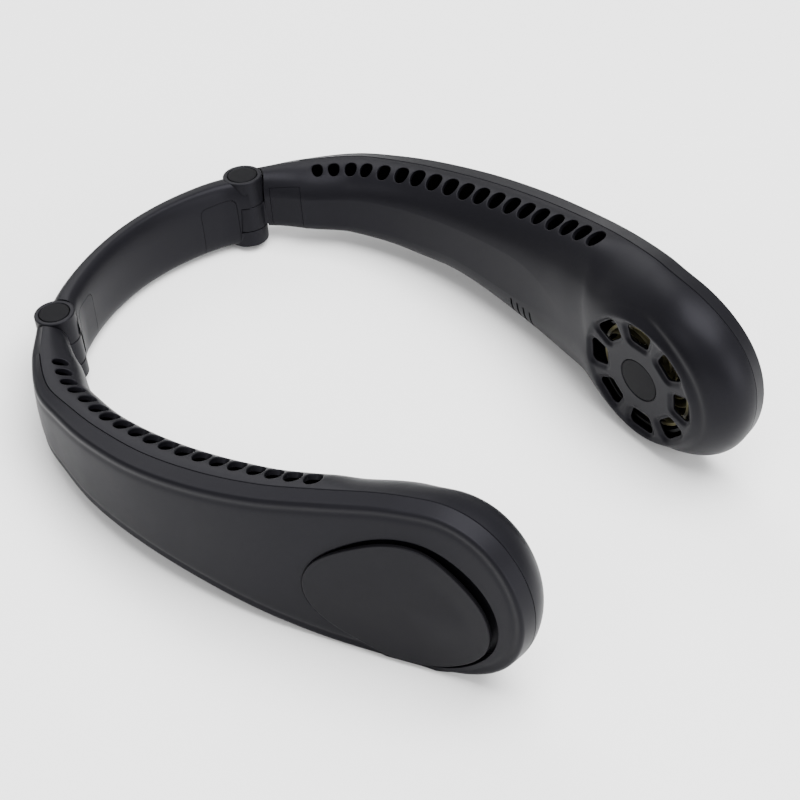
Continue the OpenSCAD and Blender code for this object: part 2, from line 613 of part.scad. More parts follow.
module battery() color("#3f6f4a")
  at_arm(battery_at, inner_depth * 0.5, (top_z(battery_at) + bottom_z(battery_at)) / 2)
  box(-battery_thick / 2, battery_thick / 2, -battery_length / 2, battery_length / 2,
    duct_level - battery_gap - battery_high, duct_level - battery_gap);

// Controls on the underside of the right arm
control_w = inner_depth * 0.58;
button_at = arm_reach * 0.29;
light_at = arm_reach * 0.33;
socket_at = arm_reach * 0.37;
under = seam_rise_low;
module at_under(f) at_arm(f, control_w, bottom_z(f) - under) children();
module stadium(l, w, z0, z1) hull() for (s = [-1, 1]) translate([0, s * (l - w) / 2, z0])
  cylinder(r = w / 2, h = z1 - z0, $fn = 32);
button_proud = 0.7;
button_seat = 3.4;
flange_over = 1;
module power_button() color("#1f1f21") at_under(button_at) union() {
  stadium(button_length, button_width, -button_proud, button_seat);
  stadium(button_length + 2 * flange_over, button_width + 2 * flange_over, button_seat, button_seat + 0.8);
}
module button_boss() at_under(button_at)
  box(-button_width / 2 - 1.6, button_width / 2 + 1.6, -button_length / 2 - 1.6, button_length / 2 + 1.6,
    0.6, button_seat - button_gap);
socket_width = 3.2;
socket_length = 8.9;
socket_height = 6.6;
light_radius = 1.1;
module control_openings() {
  at_under(button_at)
    stadium(button_length + 2 * button_gap, button_width + 2 * button_gap, -3, button_seat + 1);
  at_under(light_at) disc(light_radius + 0.08, -3, 4);
  at_under(socket_at) box(-socket_width / 2 - 0.1, socket_width / 2 + 0.1, -socket_length / 2 - 0.1,
    socket_length / 2 + 0.1, -3, 4);
}
module usb_socket() color("#9fa1a5") at_under(socket_at) difference() {
  box(-socket_width / 2, socket_width / 2, -socket_length / 2, socket_length / 2, 0.3, socket_height);
  box(-socket_width / 2 + 0.35, socket_width / 2 - 0.35, -socket_length / 2 + 0.35, socket_length / 2 - 0.35,
    -1, socket_height - 1);
}
module socket_tongue() color("#1c1c1e") at_under(socket_at)
  box(-0.35, 0.35, -socket_length * 0.36, socket_length * 0.36, 0.9, socket_height - 1.02);
module status_light() color("#cfe4ff") at_under(light_at) disc(light_radius, 0.1, board_level - 0.05);
board_level = button_seat + 0.8 + button_travel + 0.35;
board_turn = 2.4;
board_half = inner_depth * 0.187;
module control_board() color("#24543a") difference() {
  at_under(light_at) rotate([board_turn, 0, 0])
    box(-board_half, board_half, -arm_reach * 0.066, arm_reach * 0.0655, board_level + 0.15,
      board_level + 1.15);
  at_under(socket_at) box(-socket_width / 2 - 0.1, socket_width / 2 + 0.1, -socket_length / 2 - 0.1,
    socket_length / 2 + 0.1, 0, socket_height + 9);
}
module left_arm_inner_shell() color("#303033") arm_inner_shell(false);
module left_arm_outer_shell() color("#37373a") arm_outer_shell();
module left_hinge_tab() color("#2c2c2f") hinge_tab();
module left_arm_cover() arm_cover();
module left_outer_plate() outer_plate();
module left_grille_disc() grille_disc();
module left_air_duct() air_duct();
module left_blower_housing() blower_housing();
module left_motor_stator() motor_stator();
module left_battery() battery();
module left_impeller() impeller();
module left_motor_rotor() rotor();
module left_hinge_fork() color("#2c2c2f") hinge_fork();
module left_hinge_pin() color("#b9babd") hinge_pin();
module left_hinge_cap() color("#29292b") hinge_cap();
module left_hinge_screw() color("#9c9da0") hinge_screw();
module left_bridge_cover() bridge_cover();
module right_arm_inner_shell() color("#303033") other_side() arm_inner_shell(true);
module right_arm_outer_shell() color("#37373a") other_side() arm_outer_shell();
module right_hinge_tab() color("#2c2c2f") other_side() hinge_tab();
module right_arm_cover() other_side() arm_cover();
module right_outer_plate() other_side() outer_plate();
module right_grille_disc() other_side() grille_disc();
module right_air_duct() other_side() air_duct();
module right_blower_housing() other_side() blower_housing();
module right_motor_stator() other_side() motor_stator();
module right_battery() other_side() battery();
module right_impeller() other_side() impeller();
module right_motor_rotor() other_side() rotor();
module right_hinge_fork() color("#2c2c2f") other_side() hinge_fork();
module right_hinge_pin() color("#b9babd") other_side() hinge_pin();
module right_hinge_cap() color("#29292b") other_side() hinge_cap();
module right_hinge_screw() color("#9c9da0") other_side() hinge_screw();
module right_bridge_cover() other_side() bridge_cover();
module right_power_button() other_side() power_button();
module right_usb_socket() other_side() usb_socket();
module right_socket_tongue() other_side() socket_tongue();
module right_status_light() other_side() status_light();
module right_control_board() other_side() control_board();
module bridge_inner_shell() color("#303033") bridge_shell(false);
module bridge_outer_shell() color("#37373a") bridge_shell(true);
seat() bridge_inner_shell();
seat() bridge_outer_shell();
seat() bridge_wire();
foot_flat() seat() left_arm_inner_shell();
foot_flat() seat() left_arm_outer_shell();
seat() left_hinge_tab();
seat() left_arm_cover();
seat() left_outer_plate();
seat() left_grille_disc();
seat() left_air_duct();
seat() left_blower_housing();
seat() left_motor_stator();
seat() left_battery();
seat() left_impeller();
seat() left_motor_rotor();
seat() left_hinge_fork();
seat() left_hinge_pin();
seat() left_hinge_cap();
seat() left_hinge_screw();
seat() left_bridge_cover();
foot_flat() seat() right_arm_inner_shell();
foot_flat() seat() right_arm_outer_shell();
seat() right_hinge_tab();
seat() right_arm_cover();
seat() right_outer_plate();
seat() right_grille_disc();
seat() right_air_duct();
seat() right_blower_housing();
seat() right_motor_stator();
seat() right_battery();
seat() right_impeller();
seat() right_motor_rotor();
seat() right_hinge_fork();
seat() right_hinge_pin();
seat() right_hinge_cap();
seat() right_hinge_screw();
seat() right_bridge_cover();
seat() right_power_button();
seat() right_usb_socket();
seat() right_socket_tongue();
seat() right_status_light();
seat() right_control_board();
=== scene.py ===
"""Electric neck fan: the finished look of the part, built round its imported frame.

Sizes are in millimetres in the maker's frame: the origin lies midway between
the two hinge caps, +Z is up along the hinges and -Y is where the wearer looks.
`Seat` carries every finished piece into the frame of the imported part.
"""
import logging
import math
from collections.abc import Iterable, Iterator
from contextlib import contextmanager
from dataclasses import dataclass, field
from enum import Enum

import bmesh
import bpy
import numpy as np
from mathutils import Matrix, Vector
from mathutils.bvhtree import BVHTree


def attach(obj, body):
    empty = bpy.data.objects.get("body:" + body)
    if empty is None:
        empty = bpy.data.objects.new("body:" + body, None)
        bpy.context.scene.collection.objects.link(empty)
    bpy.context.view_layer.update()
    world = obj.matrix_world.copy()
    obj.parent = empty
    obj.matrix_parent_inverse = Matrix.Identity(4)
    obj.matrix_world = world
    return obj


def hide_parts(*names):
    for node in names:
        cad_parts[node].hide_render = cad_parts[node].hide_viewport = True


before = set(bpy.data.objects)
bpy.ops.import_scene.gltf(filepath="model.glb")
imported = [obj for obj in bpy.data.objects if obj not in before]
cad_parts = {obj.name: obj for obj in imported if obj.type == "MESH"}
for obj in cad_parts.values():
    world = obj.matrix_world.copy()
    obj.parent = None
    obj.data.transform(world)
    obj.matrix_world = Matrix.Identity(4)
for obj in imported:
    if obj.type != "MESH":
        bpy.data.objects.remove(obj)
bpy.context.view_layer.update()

MM = 0.001  # a millimetre in metres
BIG = 400.0  # reach of a block that takes all on its side
OTHER_SIDE = np.diag([-1.0, 1, 1, 1])
LOG = logging.getLogger("neck_fan")
Array = np.ndarray


def eased(t: Array | float) -> Array:
    """A smooth step from zero to one."""
    t = np.clip(t, 0, 1)
    return t * t * (3 - 2 * t)


def bell(x: Array, middle: float, width: float) -> Array:
    """One at the middle, fading on both sides over the width."""
    return np.exp(-((x - middle) / width) ** 2)


class Side(Enum):
    """The wearer's left or right."""

    LEFT = 1
    RIGHT = -1

    @property
    def word(self) -> str:
        """Prefix of the node names on this side."""
        return self.name.lower()


class Join(Enum):
    """How two solids are put together."""

    CUT = "DIFFERENCE"
    WELD = "UNION"
    KEEP = "INTERSECT"


# Places


def turned(x: float, y: float, z: float) -> Array:
    """Rotation by degrees about X, then Y, then Z.

    Args:
        x: Degrees about X.
        y: Degrees about Y.
        z: Degrees about Z.

    Returns:
        A 4x4 matrix.
    """
    a, b, c = (math.radians(v) for v in (x, y, z))
    return np.array(Matrix.Rotation(c, 4, "Z") @ Matrix.Rotation(b, 4, "Y") @ Matrix.Rotation(a, 4, "X"))


def moved(x: float, y: float, z: float) -> Array:
    """Translation as a 4x4 matrix."""
    return np.array(Matrix.Translation((x, y, z)))


def carried(points: Array, place: Array) -> Array:
    """Points of shape (..., 3) moved by a 4x4 matrix."""
    return points @ place[:3, :3].T + place[:3, 3]


@dataclass(frozen=True)
class Guide:
    """A smooth value of one variable, given at stations."""

    stations: tuple[float, ...]
    values: tuple[float, ...]
    scale: float = 1.0

    def __call__(self, x: Array | float) -> Array:
        """Value at x, by cubic pieces with averaged slopes.

        Args:
            x: Where the value is wanted, in the units of the stations.

        Returns:
            The value there, times the scale.
        """
        k, v = np.array(self.stations), np.array(self.values)
        x = np.asarray(x, float)
        n = len(k)
        before, after = np.maximum(np.arange(n) - 1, 0), np.minimum(np.arange(n) + 1, n - 1)
        slope = (v[after] - v[before]) / (k[after] - k[before])
        i = np.clip(np.searchsorted(k, x, side="left") - 1, 0, n - 2)
        h = k[i + 1] - k[i]
        t = (x - k[i]) / h
        s, c = t * t, t * t * t
        return self.scale * (
            v[i] * (2 * c - 3 * s + 1) + slope[i] * h * (c - 2 * s + t)
            + v[i + 1] * (3 * s - 2 * c) + slope[i + 1] * h * (c - s)
        )


@dataclass(frozen=True)
class Seat:
    """How the part stands on its surface: tilt, lift and shift of the maker's frame."""

    tilt: float = 4.925485718104113
    lift: float = 27.519499459191366
    shift: float = 99.34849942165454

    @property
    def place(self) -> Array:
        """The maker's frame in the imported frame, in millimetres."""
        return moved(0, self.shift, self.lift) @ turned(-self.tilt, 0, 0)


SEAT = Seat()


# Solids


@contextmanager
def opened(mesh: bpy.types.Mesh, merge: float, thin: float) -> Iterator[bmesh.types.BMesh]:
    """A mesh opened for editing, cleaned first and written back at the end.

    Args:
        mesh: The mesh.
        merge: Points closer than this become one.
        thin: Edges and faces thinner than this are dissolved.

    Yields:
        The editable mesh.
    """
    work = bmesh.new()
    work.from_mesh(mesh)
    bmesh.ops.remove_doubles(work, verts=work.verts, dist=merge)
    bmesh.ops.dissolve_degenerate(work, edges=work.edges, dist=thin)
    yield work
    work.to_mesh(mesh)
    work.free()


@dataclass
class Solid:
    """A closed mesh in millimetres, in the maker's frame."""

    points: Array
    faces: list[tuple[int, ...]]

    def at(self, place: Array) -> "Solid":
        """The same solid moved by a 4x4 matrix."""
        return Solid(carried(self.points, place), self.faces)

    def __add__(self, other: "Solid") -> "Solid":
        """Both solids in one mesh.

        Args:
            other: The solid that is added.

        Returns:
            The new solid.
        """
        n = len(self.points)
        faces = self.faces + [tuple(i + n for i in f) for f in other.faces]
        return Solid(np.vstack([self.points, other.points]), faces)

    def mesh(self, name: str) -> bpy.types.Mesh:
        """A Blender mesh with its normals outward.

        Args:
            name: Name of the mesh.

        Returns:
            The new mesh.
        """
        mesh = bpy.data.meshes.new(name)
        mesh.from_pydata(self.points.tolist(), [], self.faces)
        mesh.validate()
        with opened(mesh, 1e-5, 1e-5) as work:
            bmesh.ops.recalc_face_normals(work, faces=work.faces)
            if work.calc_volume(signed=True) < 0:
                bmesh.ops.reverse_faces(work, faces=work.faces)
        return mesh

    def tree(self) -> BVHTree:
        """A search tree for ray casts on this solid."""
        return BVHTree.FromPolygons([tuple(p) for p in self.points], self.faces)

    def relaxed(self, weight: Array, rounds: int) -> "Solid":
        """The same solid with its points drawn towards their neighbours.

        Args:
            weight: Strength at each point, zero to one.
            rounds: How often the points are moved.

        Returns:
            The smoother solid.
        """
        weight = np.where(weight > 1e-3, weight, 0)
        pairs = np.array([(f[i - 1], f[i]) for f in self.faces for i in range(len(f))])
        pairs = pairs[(weight[pairs] > 0).any(1)]
        pairs = np.vstack([pairs, pairs[:, ::-1]])
        count = np.bincount(pairs[:, 0], minlength=len(self.points))[:, None]
        points = self.points.copy()
        for _ in range(rounds):
            near = np.stack([np.bincount(pairs[:, 0], points[pairs[:, 1], k], len(points)) for k in range(3)])
            points += weight[:, None] * 0.5 * (near.T / np.maximum(count, 1) - points)
        return Solid(points, self.faces)


def merged(solids: Iterable[Solid]) -> Solid:
    """Several solids in one mesh.

    Args:
        solids: One solid or more.

    Returns:
        The new solid.
    """
    whole, *rest = solids
    for other in rest:
        whole = whole + other
    return whole


def bands(n: int, m: int, around: bool = False) -> list[tuple[int, ...]]:
    """Quads between rings of points.

    Args:
        n: Points in a ring.
        m: Number of rings.
        around: Whether the last ring joins the first.

    Returns:
        The faces, as numbers of their points.
    """
    return [
        (r * n + i, r * n + (i + 1) % n, (r + 1) % m * n + (i + 1) % n, (r + 1) % m * n + i)
        for r in range(m if around else m - 1) for i in range(n)
    ]


def quarter(steps: int) -> list[tuple[float, float]]:
    """One minus the cosine and one minus the sine over a quarter turn."""
    return [(1 - math.cos(t), 1 - math.sin(t)) for t in np.linspace(0, math.pi / 2, steps + 1)]


def lofted(rings: list[Array], around: bool = False) -> Solid:
    """Closed solid through rings with the same number of points.

    Args:
        rings: Rings of points, each (n, 3).
        around: Whether the last ring joins the first; otherwise a fan closes each end.

    Returns:
        The solid.
    """
    n, m = len(rings[0]), len(rings)
    points, faces = np.vstack(rings), bands(n, m, around)
    if not around:
        points = np.vstack([points, rings[0].mean(0), rings[-1].mean(0)])
        faces += [(m * n, (i + 1) % n, i) for i in range(n)]
        faces += [(m * n + 1, (m - 1) * n + i, (m - 1) * n + (i + 1) % n) for i in range(n)]
    return Solid(points, faces)


def lathed(profile: list[tuple[float, float]], sides: int = 96) -> Solid:
    """Solid of revolution about Z.

    Args:
        profile: (radius, height) pairs from one end of the axis to the other.
        sides: Number of sides.

    Returns:
        The solid.
    """
    turn = np.linspace(0, 2 * math.pi, sides, endpoint=False)
    ring = np.stack([np.cos(turn), np.sin(turn), np.zeros(sides)], 1)
    return lofted([ring * [max(r, 1e-3), max(r, 1e-3), 0] + [0, 0, z] for r, z in profile])


def plug(r: float, low: float, top: float, sides: int = 96) -> Solid:
    """A round cutter about Z between two levels."""
    return lathed([(0, low), (r, low), (r, top), (0, top)], sides)


def box(x0: float, x1: float, y0: float, y1: float, z0: float, z1: float) -> Solid:
    """A block between two corners.

    Args:
        x0: Low end in x.
        x1: High end in x.
        y0: Low end in y.
        y1: High end in y.
        z0: Low end in z.
        z1: High end in z.

    Returns:
        The solid.
    """
    corners = ((x0, y0), (x1, y0), (x1, y1), (x0, y1))
    points = np.array([(x, y, z) for z in (z0, z1) for x, y in corners], float)
    return Solid(points, [(3, 2, 1, 0), (4, 5, 6, 7), (0, 1, 5, 4), (1, 2, 6, 5), (2, 3, 7, 6), (3, 0, 4, 7)])


def fillet(r: float, z: float, size: float, up: bool, outward: bool = True) -> list[tuple[float, float]]:
    """Rounded corner of a lathe profile, in five facets.

    Args:
        r: Radius of the sharp corner.
        z: Height of the sharp corner.
        size: Radius of the rounding.
        up: Whether the corner is the upper one of its wall.
        outward: Whether the profile runs from the axis outward here.

    Returns:
        (radius, height) pairs, ordered from the flat end to the wall, or back.
    """
    s = 1 if up else -1
    arc = [
        (r - size + size * math.sin(t), z - s * size + s * size * math.cos(t))
        for t in np.linspace(0, math.pi / 2, 6)
    ]
    return arc if outward else arc[::-1]


def hull_outline(circles: list[tuple[float, float, float]], count: int = 96) -> Array:
    """Evenly spaced outline round circles in a plane.

    Args:
        circles: (x, y, radius) of each circle.
        count: Number of points wanted.

    Returns:
        Points (count, 2), anticlockwise.
    """
    turn = np.linspace(0, 2 * math.pi, 180, endpoint=False)
    cloud = sorted({
        (round(x + r * math.cos(t), 6), round(y + r * math.sin(t), 6)) for x, y, r in circles for t in turn
    })

    def half(points: list[tuple[float, float]]) -> list[tuple[float, float]]:
        """One side of the convex outline.

        Args:
            points: Points in the order in which they are passed.

        Returns:
            The corners, without the last one.
        """
        kept: list[tuple[float, float]] = []
        for p in points:
            while len(kept) > 1 and (
                (kept[-1][0] - kept[-2][0]) * (p[1] - kept[-2][1])
                - (kept[-1][1] - kept[-2][1]) * (p[0] - kept[-2][0])
            ) <= 0:
                kept.pop()
            kept.append(p)
        return kept[:-1]

    loop = np.array(half(cloud) + half(cloud[::-1]))
    closed = np.vstack([loop, loop[:1]])
    run = np.r_[0, np.cumsum(np.linalg.norm(np.diff(closed, axis=0), axis=1))]
    want = np.linspace(0, run[-1], count, endpoint=False)
    return np.stack([np.interp(want, run, closed[:, 0]), np.interp(want, run, closed[:, 1])], 1)


def grown(outline: Array, by: float) -> Array:
    """A closed plane outline moved outward along its normals.

    Args:
        outline: Points (n, 2), anticlockwise.
        by: How far outward.

    Returns:
        The moved points.
    """
    along = np.roll(outline, -1, 0) - np.roll(outline, 1, 0)
    along /= np.linalg.norm(along, axis=1)[:, None]
    return outline + np.stack([along[:, 1], -along[:, 0]], 1) * by


def distance_to(outline: Array, points: Array) -> Array:
    """Signed distance to a convex anticlockwise outline, minus inside.

    Args:
        outline: Points (n, 2).
        points: Points (..., 2).

    Returns:
        The distance of each point.
    """
    a, b = outline, np.roll(outline, -1, 0)
    d = b - a
    p = points[..., None, :]
    t = np.clip(((p - a) * d).sum(-1) / (d * d).sum(-1), 0, 1)
    gap = np.linalg.norm(p - (a + t[..., None] * d), axis=-1).min(-1)
    side = (d[:, 0] * (p[..., 1] - a[:, 1]) - d[:, 1] * (p[..., 0] - a[:, 0])).min(-1)
    return np.where(side > 0, -gap, gap)


def prism(outline: Array, z0: float, z1: float) -> Solid:
    """An upright prism on a plane outline (n, 2) between two levels."""
    return lofted([np.c_[outline, np.full(len(outline), z)] for z in (z0, z1)])


def lipped_cutter(surface: BVHTree, place: Array, outline: Array, depth: float, lip: float) -> Solid:
    """Cutter whose rim flares so that the cut edge is evenly rounded on a curved surface.

    Args:
        surface: Search tree of the surface that is cut.
        place: Frame of the cutter; its +Z points out of the surface.
        outline: Plane outline of the opening (n, 2).
        depth: How far the cutter reaches below its frame.
        lip: Radius of the rounding.

    Returns:
        The cutter.
    """
    out, above, proud, overlap = Vector(place[:3, 2]), 12.0, 3.0, 0.01

    def heights(ring: Array) -> Array:
        """Height of the surface over each point of a plane ring.

        Args:
            ring: Points (n, 2) in the cutter's frame.

        Returns:
            One height for each point.
        """
        found = []
        for p in carried(np.c_[ring, np.full(len(ring), above)], place):
            hit = surface.ray_cast(Vector(p), -out, 30.0)
            found.append(above - hit[3] if hit[0] is not None else np.nan)
        h = np.array(found)
        return np.where(np.isnan(h), np.nanmean(h), h)

    rings = [np.c_[outline, np.full(len(outline), -depth)]]
    for a, b in quarter(5):
        ring = grown(outline, lip * a)
        rings.append(np.c_[ring, heights(ring) - lip * b + (0 if b else overlap)])
    top = grown(outline, lip + 0.03)
    rings.append(np.c_[top, heights(top) + proud])
    return lofted(rings).at(place)


class Bench:
    """Puts solids together and turns the result into finished pieces."""

    solvers: tuple[str, ...] = ("MANIFOLD", "EXACT")
    sharp: float = math.radians(32.0)

    def block(self, solid: Solid | bpy.types.Object, name: str = "blank") -> bpy.types.Object:
        """A working object from a solid, or a copy of a working object.

        Args:
            solid: Solid or working object.
            name: Name of the new object.

        Returns:
            The new working object.
        """
        mesh = solid.mesh(name) if isinstance(solid, Solid) else solid.data.copy()
        made = bpy.data.objects.new(name, mesh)
        bpy.context.scene.collection.objects.link(made)
        return made

    def join(self, base: bpy.types.Object, other: Solid | bpy.types.Object, how: Join) -> bpy.types.Object:
        """Changes base by another solid.

        Args:
            base: Working object that is changed.
            other: Solid or working object, used up.
            how: Cut, weld or keep what is common.

        Returns:
            The changed base.
        """
        tool = self.block(other, "tool") if isinstance(other, Solid) else other
        before = (len(base.data.vertices), len(base.data.polygons))
        for solver in self.solvers:
            step = base.modifiers.new("step", "BOOLEAN")
            step.operation, step.solver, step.object = how.value, solver, tool
            step.use_self = solver == "EXACT"
            dg = bpy.context.evaluated_depsgraph_get()
            dg.update()
            mesh = bpy.data.meshes.new_from_object(base.evaluated_get(dg))
            base.modifiers.remove(step)
            if mesh.polygons and (len(mesh.vertices), len(mesh.polygons)) != before:
                break
            LOG.info("  %s %s left %s as it was", solver, how.name.lower(), base.name)
            bpy.data.meshes.remove(mesh)
            mesh = None
        if mesh is not None:
            old, base.data = base.data, mesh
            bpy.data.meshes.remove(old)
        bpy.data.objects.remove(tool)
        return base

    def cut(self, base: bpy.types.Object, *tools: Solid | bpy.types.Object) -> bpy.types.Object:
        """Takes one tool after the other out of base.

        Args:
            base: Working object that is changed.
            *tools: Solids or working objects, used up.

        Returns:
            The changed base.
        """
        for tool in tools:
            self.join(base, tool, Join.CUT)
        return base

    def shape(self, solid: Solid, cuts: Iterable[Solid] = (), welds: Iterable[Solid] = (),
              keep: Solid | None = None, name: str = "blank") -> bpy.types.Object:
        """A working object from a solid, its welds, its cuts and what it is limited to.

        Args:
            solid: What it starts from.
            cuts: What is taken out, after the welds.
            welds: What is added.
            keep: What the result is limited to.
            name: Name of the object.

        Returns:
            The working object.
        """
        base = self.block(solid, name)
        for other in welds:
            self.join(base, other, Join.WELD)
        self.cut(base, *cuts)
        if keep is not None:
            self.join(base, keep, Join.KEEP)
        return base

    def finish(self, work: bpy.types.Object | Solid, node: str, body: str, finish: bpy.types.Material,
               slot: str, side: Side = Side.LEFT) -> None:
        """Turns a working object into a finished piece on its body.

        Args:
            work: Working object or solid, used up.
            node: Node that it stands for.
            body: Body that it moves with.
            finish: Its material.
            slot: Name of the record's slot; not used.
            side: Side of the part; the right side is mirrored.
        """
        name = f"{node}_look"
        piece = self.block(work, name) if isinstance(work, Solid) else work
        piece.name = name
        mesh = piece.data
        mesh.name = name
        mirror = np.diag([side.value, 1, 1, 1]).astype(float)
        mesh.transform(Matrix(np.diag([MM, MM, MM, 1.0]) @ SEAT.place @ mirror))
        with opened(mesh, 2e-6, 1e-6) as opened_mesh:
            if side is Side.RIGHT:
                bmesh.ops.reverse_faces(opened_mesh, faces=opened_mesh.faces)
            for edge in opened_mesh.edges:
                edge.smooth = len(edge.link_faces) == 2 and edge.calc_face_angle(0.0) < self.sharp
            for face in opened_mesh.faces:
                face.smooth = True
        mesh.materials.clear()
        mesh.materials.append(finish)
        even = piece.modifiers.new("even_normals", "WEIGHTED_NORMAL")
        even.keep_sharp = True
        even.weight = 50
        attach(piece, body)
        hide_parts(node)
        LOG.info("%s on %s: %d faces", name, body, len(mesh.polygons))


# Finishes


class Wire:
    """An output of a shader node that can be used in sums."""

    def __init__(self, shop: "Shop", socket: bpy.types.NodeSocket) -> None:
        """Wraps a socket of the shop's node tree."""
        self.shop = shop
        self.socket = socket

    def _sum(self, operation: str, a: "Wire | float", b: "Wire | float") -> "Wire":
        """A Math node on two values."""
        return self.shop.node("ShaderNodeMath", {"operation": operation}, {0: a, 1: b}).out("Value")

    def __add__(self, other: "Wire | float") -> "Wire":
        """Sum."""
        return self._sum("ADD", self, other)

    __radd__ = __add__

    def __sub__(self, other: "Wire | float") -> "Wire":
        """Difference."""
        return self._sum("SUBTRACT", self, other)

    def __rsub__(self, other: float) -> "Wire":
        """Difference from a number."""
        return self._sum("SUBTRACT", other, self)

    def __mul__(self, other: "Wire | float") -> "Wire":
        """Product."""
        return self._sum("MULTIPLY", self, other)

    __rmul__ = __mul__


class Made:
    """A shader node whose outputs are taken by name."""

    def __init__(self, shop: "Shop", node: bpy.types.Node) -> None:
        """Wraps a node of the shop's node tree."""
        self.shop = shop
        self.node = node

    def out(self, key: str) -> Wire:
        """The output with that identifier or name."""
        return Wire(self.shop, self.shop.socket(self.node.outputs, key))


class Shop:
    """Builds the node tree of one finish."""

    def __init__(self, name: str) -> None:
        """Makes an empty material of that name.

        Args:
            name: Name of the material.
        """
        self.material = bpy.data.materials.new(name)
        self.material.use_nodes = True
        self.tree = self.material.node_tree
        self.tree.nodes.clear()

    @staticmethod
    def socket(sockets: bpy.types.bpy_prop_collection, key: str | int) -> bpy.types.NodeSocket:
        """A socket by its place, identifier or name.

        Args:
            sockets: The inputs or outputs of a node.
            key: Place, identifier or name.

        Returns:
            The socket.
        """
        if isinstance(key, int):
            return sockets[key]
        for attribute in ("identifier", "name"):
            for socket in sockets:
                if getattr(socket, attribute) == key and socket.enabled:
                    return socket
        raise KeyError(key)

    def node(self, kind: str, settings: dict[str, object] | None = None,
             sockets: dict[str | int, object] | None = None) -> Made:
        """A node with its settings made first and its sockets after.

        Args:
            kind: Type of the node.
            settings: Its settings, such as an operation or a type.
            sockets: A value or a Wire for each input that is set.

        Returns:
            The node.
        """
        made = self.tree.nodes.new(kind)
        for key, value in (settings or {}).items():
            setattr(made, key, value)
        for key, value in (sockets or {}).items():
            socket = self.socket(made.inputs, key)
            if isinstance(value, Wire):
                self.tree.links.new(value.socket, socket)
            else:
                socket.default_value = value
        return Made(self, made)

    def noise(self, size: float, detail: float = 2.0, rough: float = 0.5,
              stretch: tuple[float, float, float] = (1, 1, 1)) -> Wire:
        """Noise on the piece's own coordinates.

        Args:
            size: Size of the noise in millimetres.
            detail: Number of finer layers.
            rough: Strength of the finer layers.
            stretch: Scale along each axis.

        Returns:
            The noise, from zero to one.
        """
        own = self.node("ShaderNodeTexCoord").out("Object")
        scaled = self.node("ShaderNodeMapping", {}, {"Vector": own, "Scale": stretch}).out("Vector")
        sockets = {"Vector": scaled, "Scale": 1 / (size * MM), "Detail": detail, "Roughness": rough}
        return self.node("ShaderNodeTexNoise", {"noise_dimensions": "3D"}, sockets).out("Fac")

    def mix(self, share: Wire | float, a: object, b: object) -> Wire:
        """Colour between a and b."""
        sockets = {"Factor_Float": share, "A_Color": a, "B_Color": b}
        return self.node("ShaderNodeMix", {"data_type": "RGBA"}, sockets).out("Result_Color")

    def bump(self, height: Wire, depth: float) -> Wire:
        """Normal of a height that spans that many millimetres."""
        sockets = {"Height": height, "Distance": depth * MM, "Strength": 1.0}
        return self.node("ShaderNodeBump", {}, sockets).out("Normal")

    def surface(self, **sockets: object) -> bpy.types.Material:
        """Ends the tree in a Principled shader with those inputs.

        Args:
            **sockets: A value or a Wire for each input, with _ for a space.

        Returns:
            The finished material.
        """
        named = {key.replace("_", " "): value for key, value in sockets.items()}
        shader = self.node("ShaderNodeBsdfPrincipled", {}, named).out("BSDF")
        self.node("ShaderNodeOutputMaterial", {}, {"Surface": shader})
        return self.material


def rgb(colour: tuple[float, float, float], by: float = 1.0) -> tuple[float, float, float, float]:
    """A colour times a number, with alpha."""
    return (*(c * by for c in colour), 1.0)


@dataclass(frozen=True)
class Moulded:
    """Satin moulded plastic with a fine sparked grain, faint flow clouds and handling sheen."""

    name: str
    colour: tuple[float, float, float]
    roughness: float = 0.42
    grain: float = 0.22
    grain_depth: float = 0.006
    cloud: float = 14.0
    handling: float = 3.2
    spread: float = 0.12
    shine: float = 0.09
    tint: tuple[float, float, float] = (0.89, 0.88, 1.0)

    def material(self) -> bpy.types.Material:
        """Builds the finish.

        Returns:
            The material.
        """
        shop = Shop(self.name)
        clouds = shop.noise(self.cloud, 3.0, 0.55)
        fine = shop.noise(self.grain, 2.0, 0.6)
        handled = shop.noise(self.handling, 4.0, 0.6)
        tone = shop.mix(clouds, rgb(self.colour, 1 - self.spread), rgb(self.colour, 1 + self.spread))
        speck = shop.mix(fine * 0.5, tone, rgb(self.colour, 1 + 2.2 * self.spread))
        rough = self.roughness + (clouds - 0.5) * 0.07 + (handled - 0.5) * 0.06 + (fine - 0.5) * 0.05
        return shop.surface(
            Base_Color=speck, Roughness=rough, Normal=shop.bump(fine, self.grain_depth),
            Specular_IOR_Level=self.shine, IOR=1.5, Specular_Tint=rgb(self.tint),
        )


@dataclass(frozen=True)
class Metal:
    """Turned or pressed metal with fine lines."""

    name: str
    colour: tuple[float, float, float]
    roughness: float = 0.3
    lines: tuple[float, float, float] = (1.0, 1.0, 8.0)

    def material(self) -> bpy.types.Material:
        """Builds the finish.

        Returns:
            The material.
        """
        shop = Shop(self.name)
        lines = shop.noise(0.9, 3.0, 0.6, self.lines)
        stain = shop.noise(5.0, 3.0, 0.5)
        tone = shop.mix(stain, rgb(self.colour, 0.88), rgb(self.colour, 1.05))
        rough = self.roughness + (lines - 0.5) * 0.14 + (stain - 0.5) * 0.08
        return shop.surface(Base_Color=tone, Roughness=rough, Metallic=1.0, Normal=shop.bump(lines, 0.004))


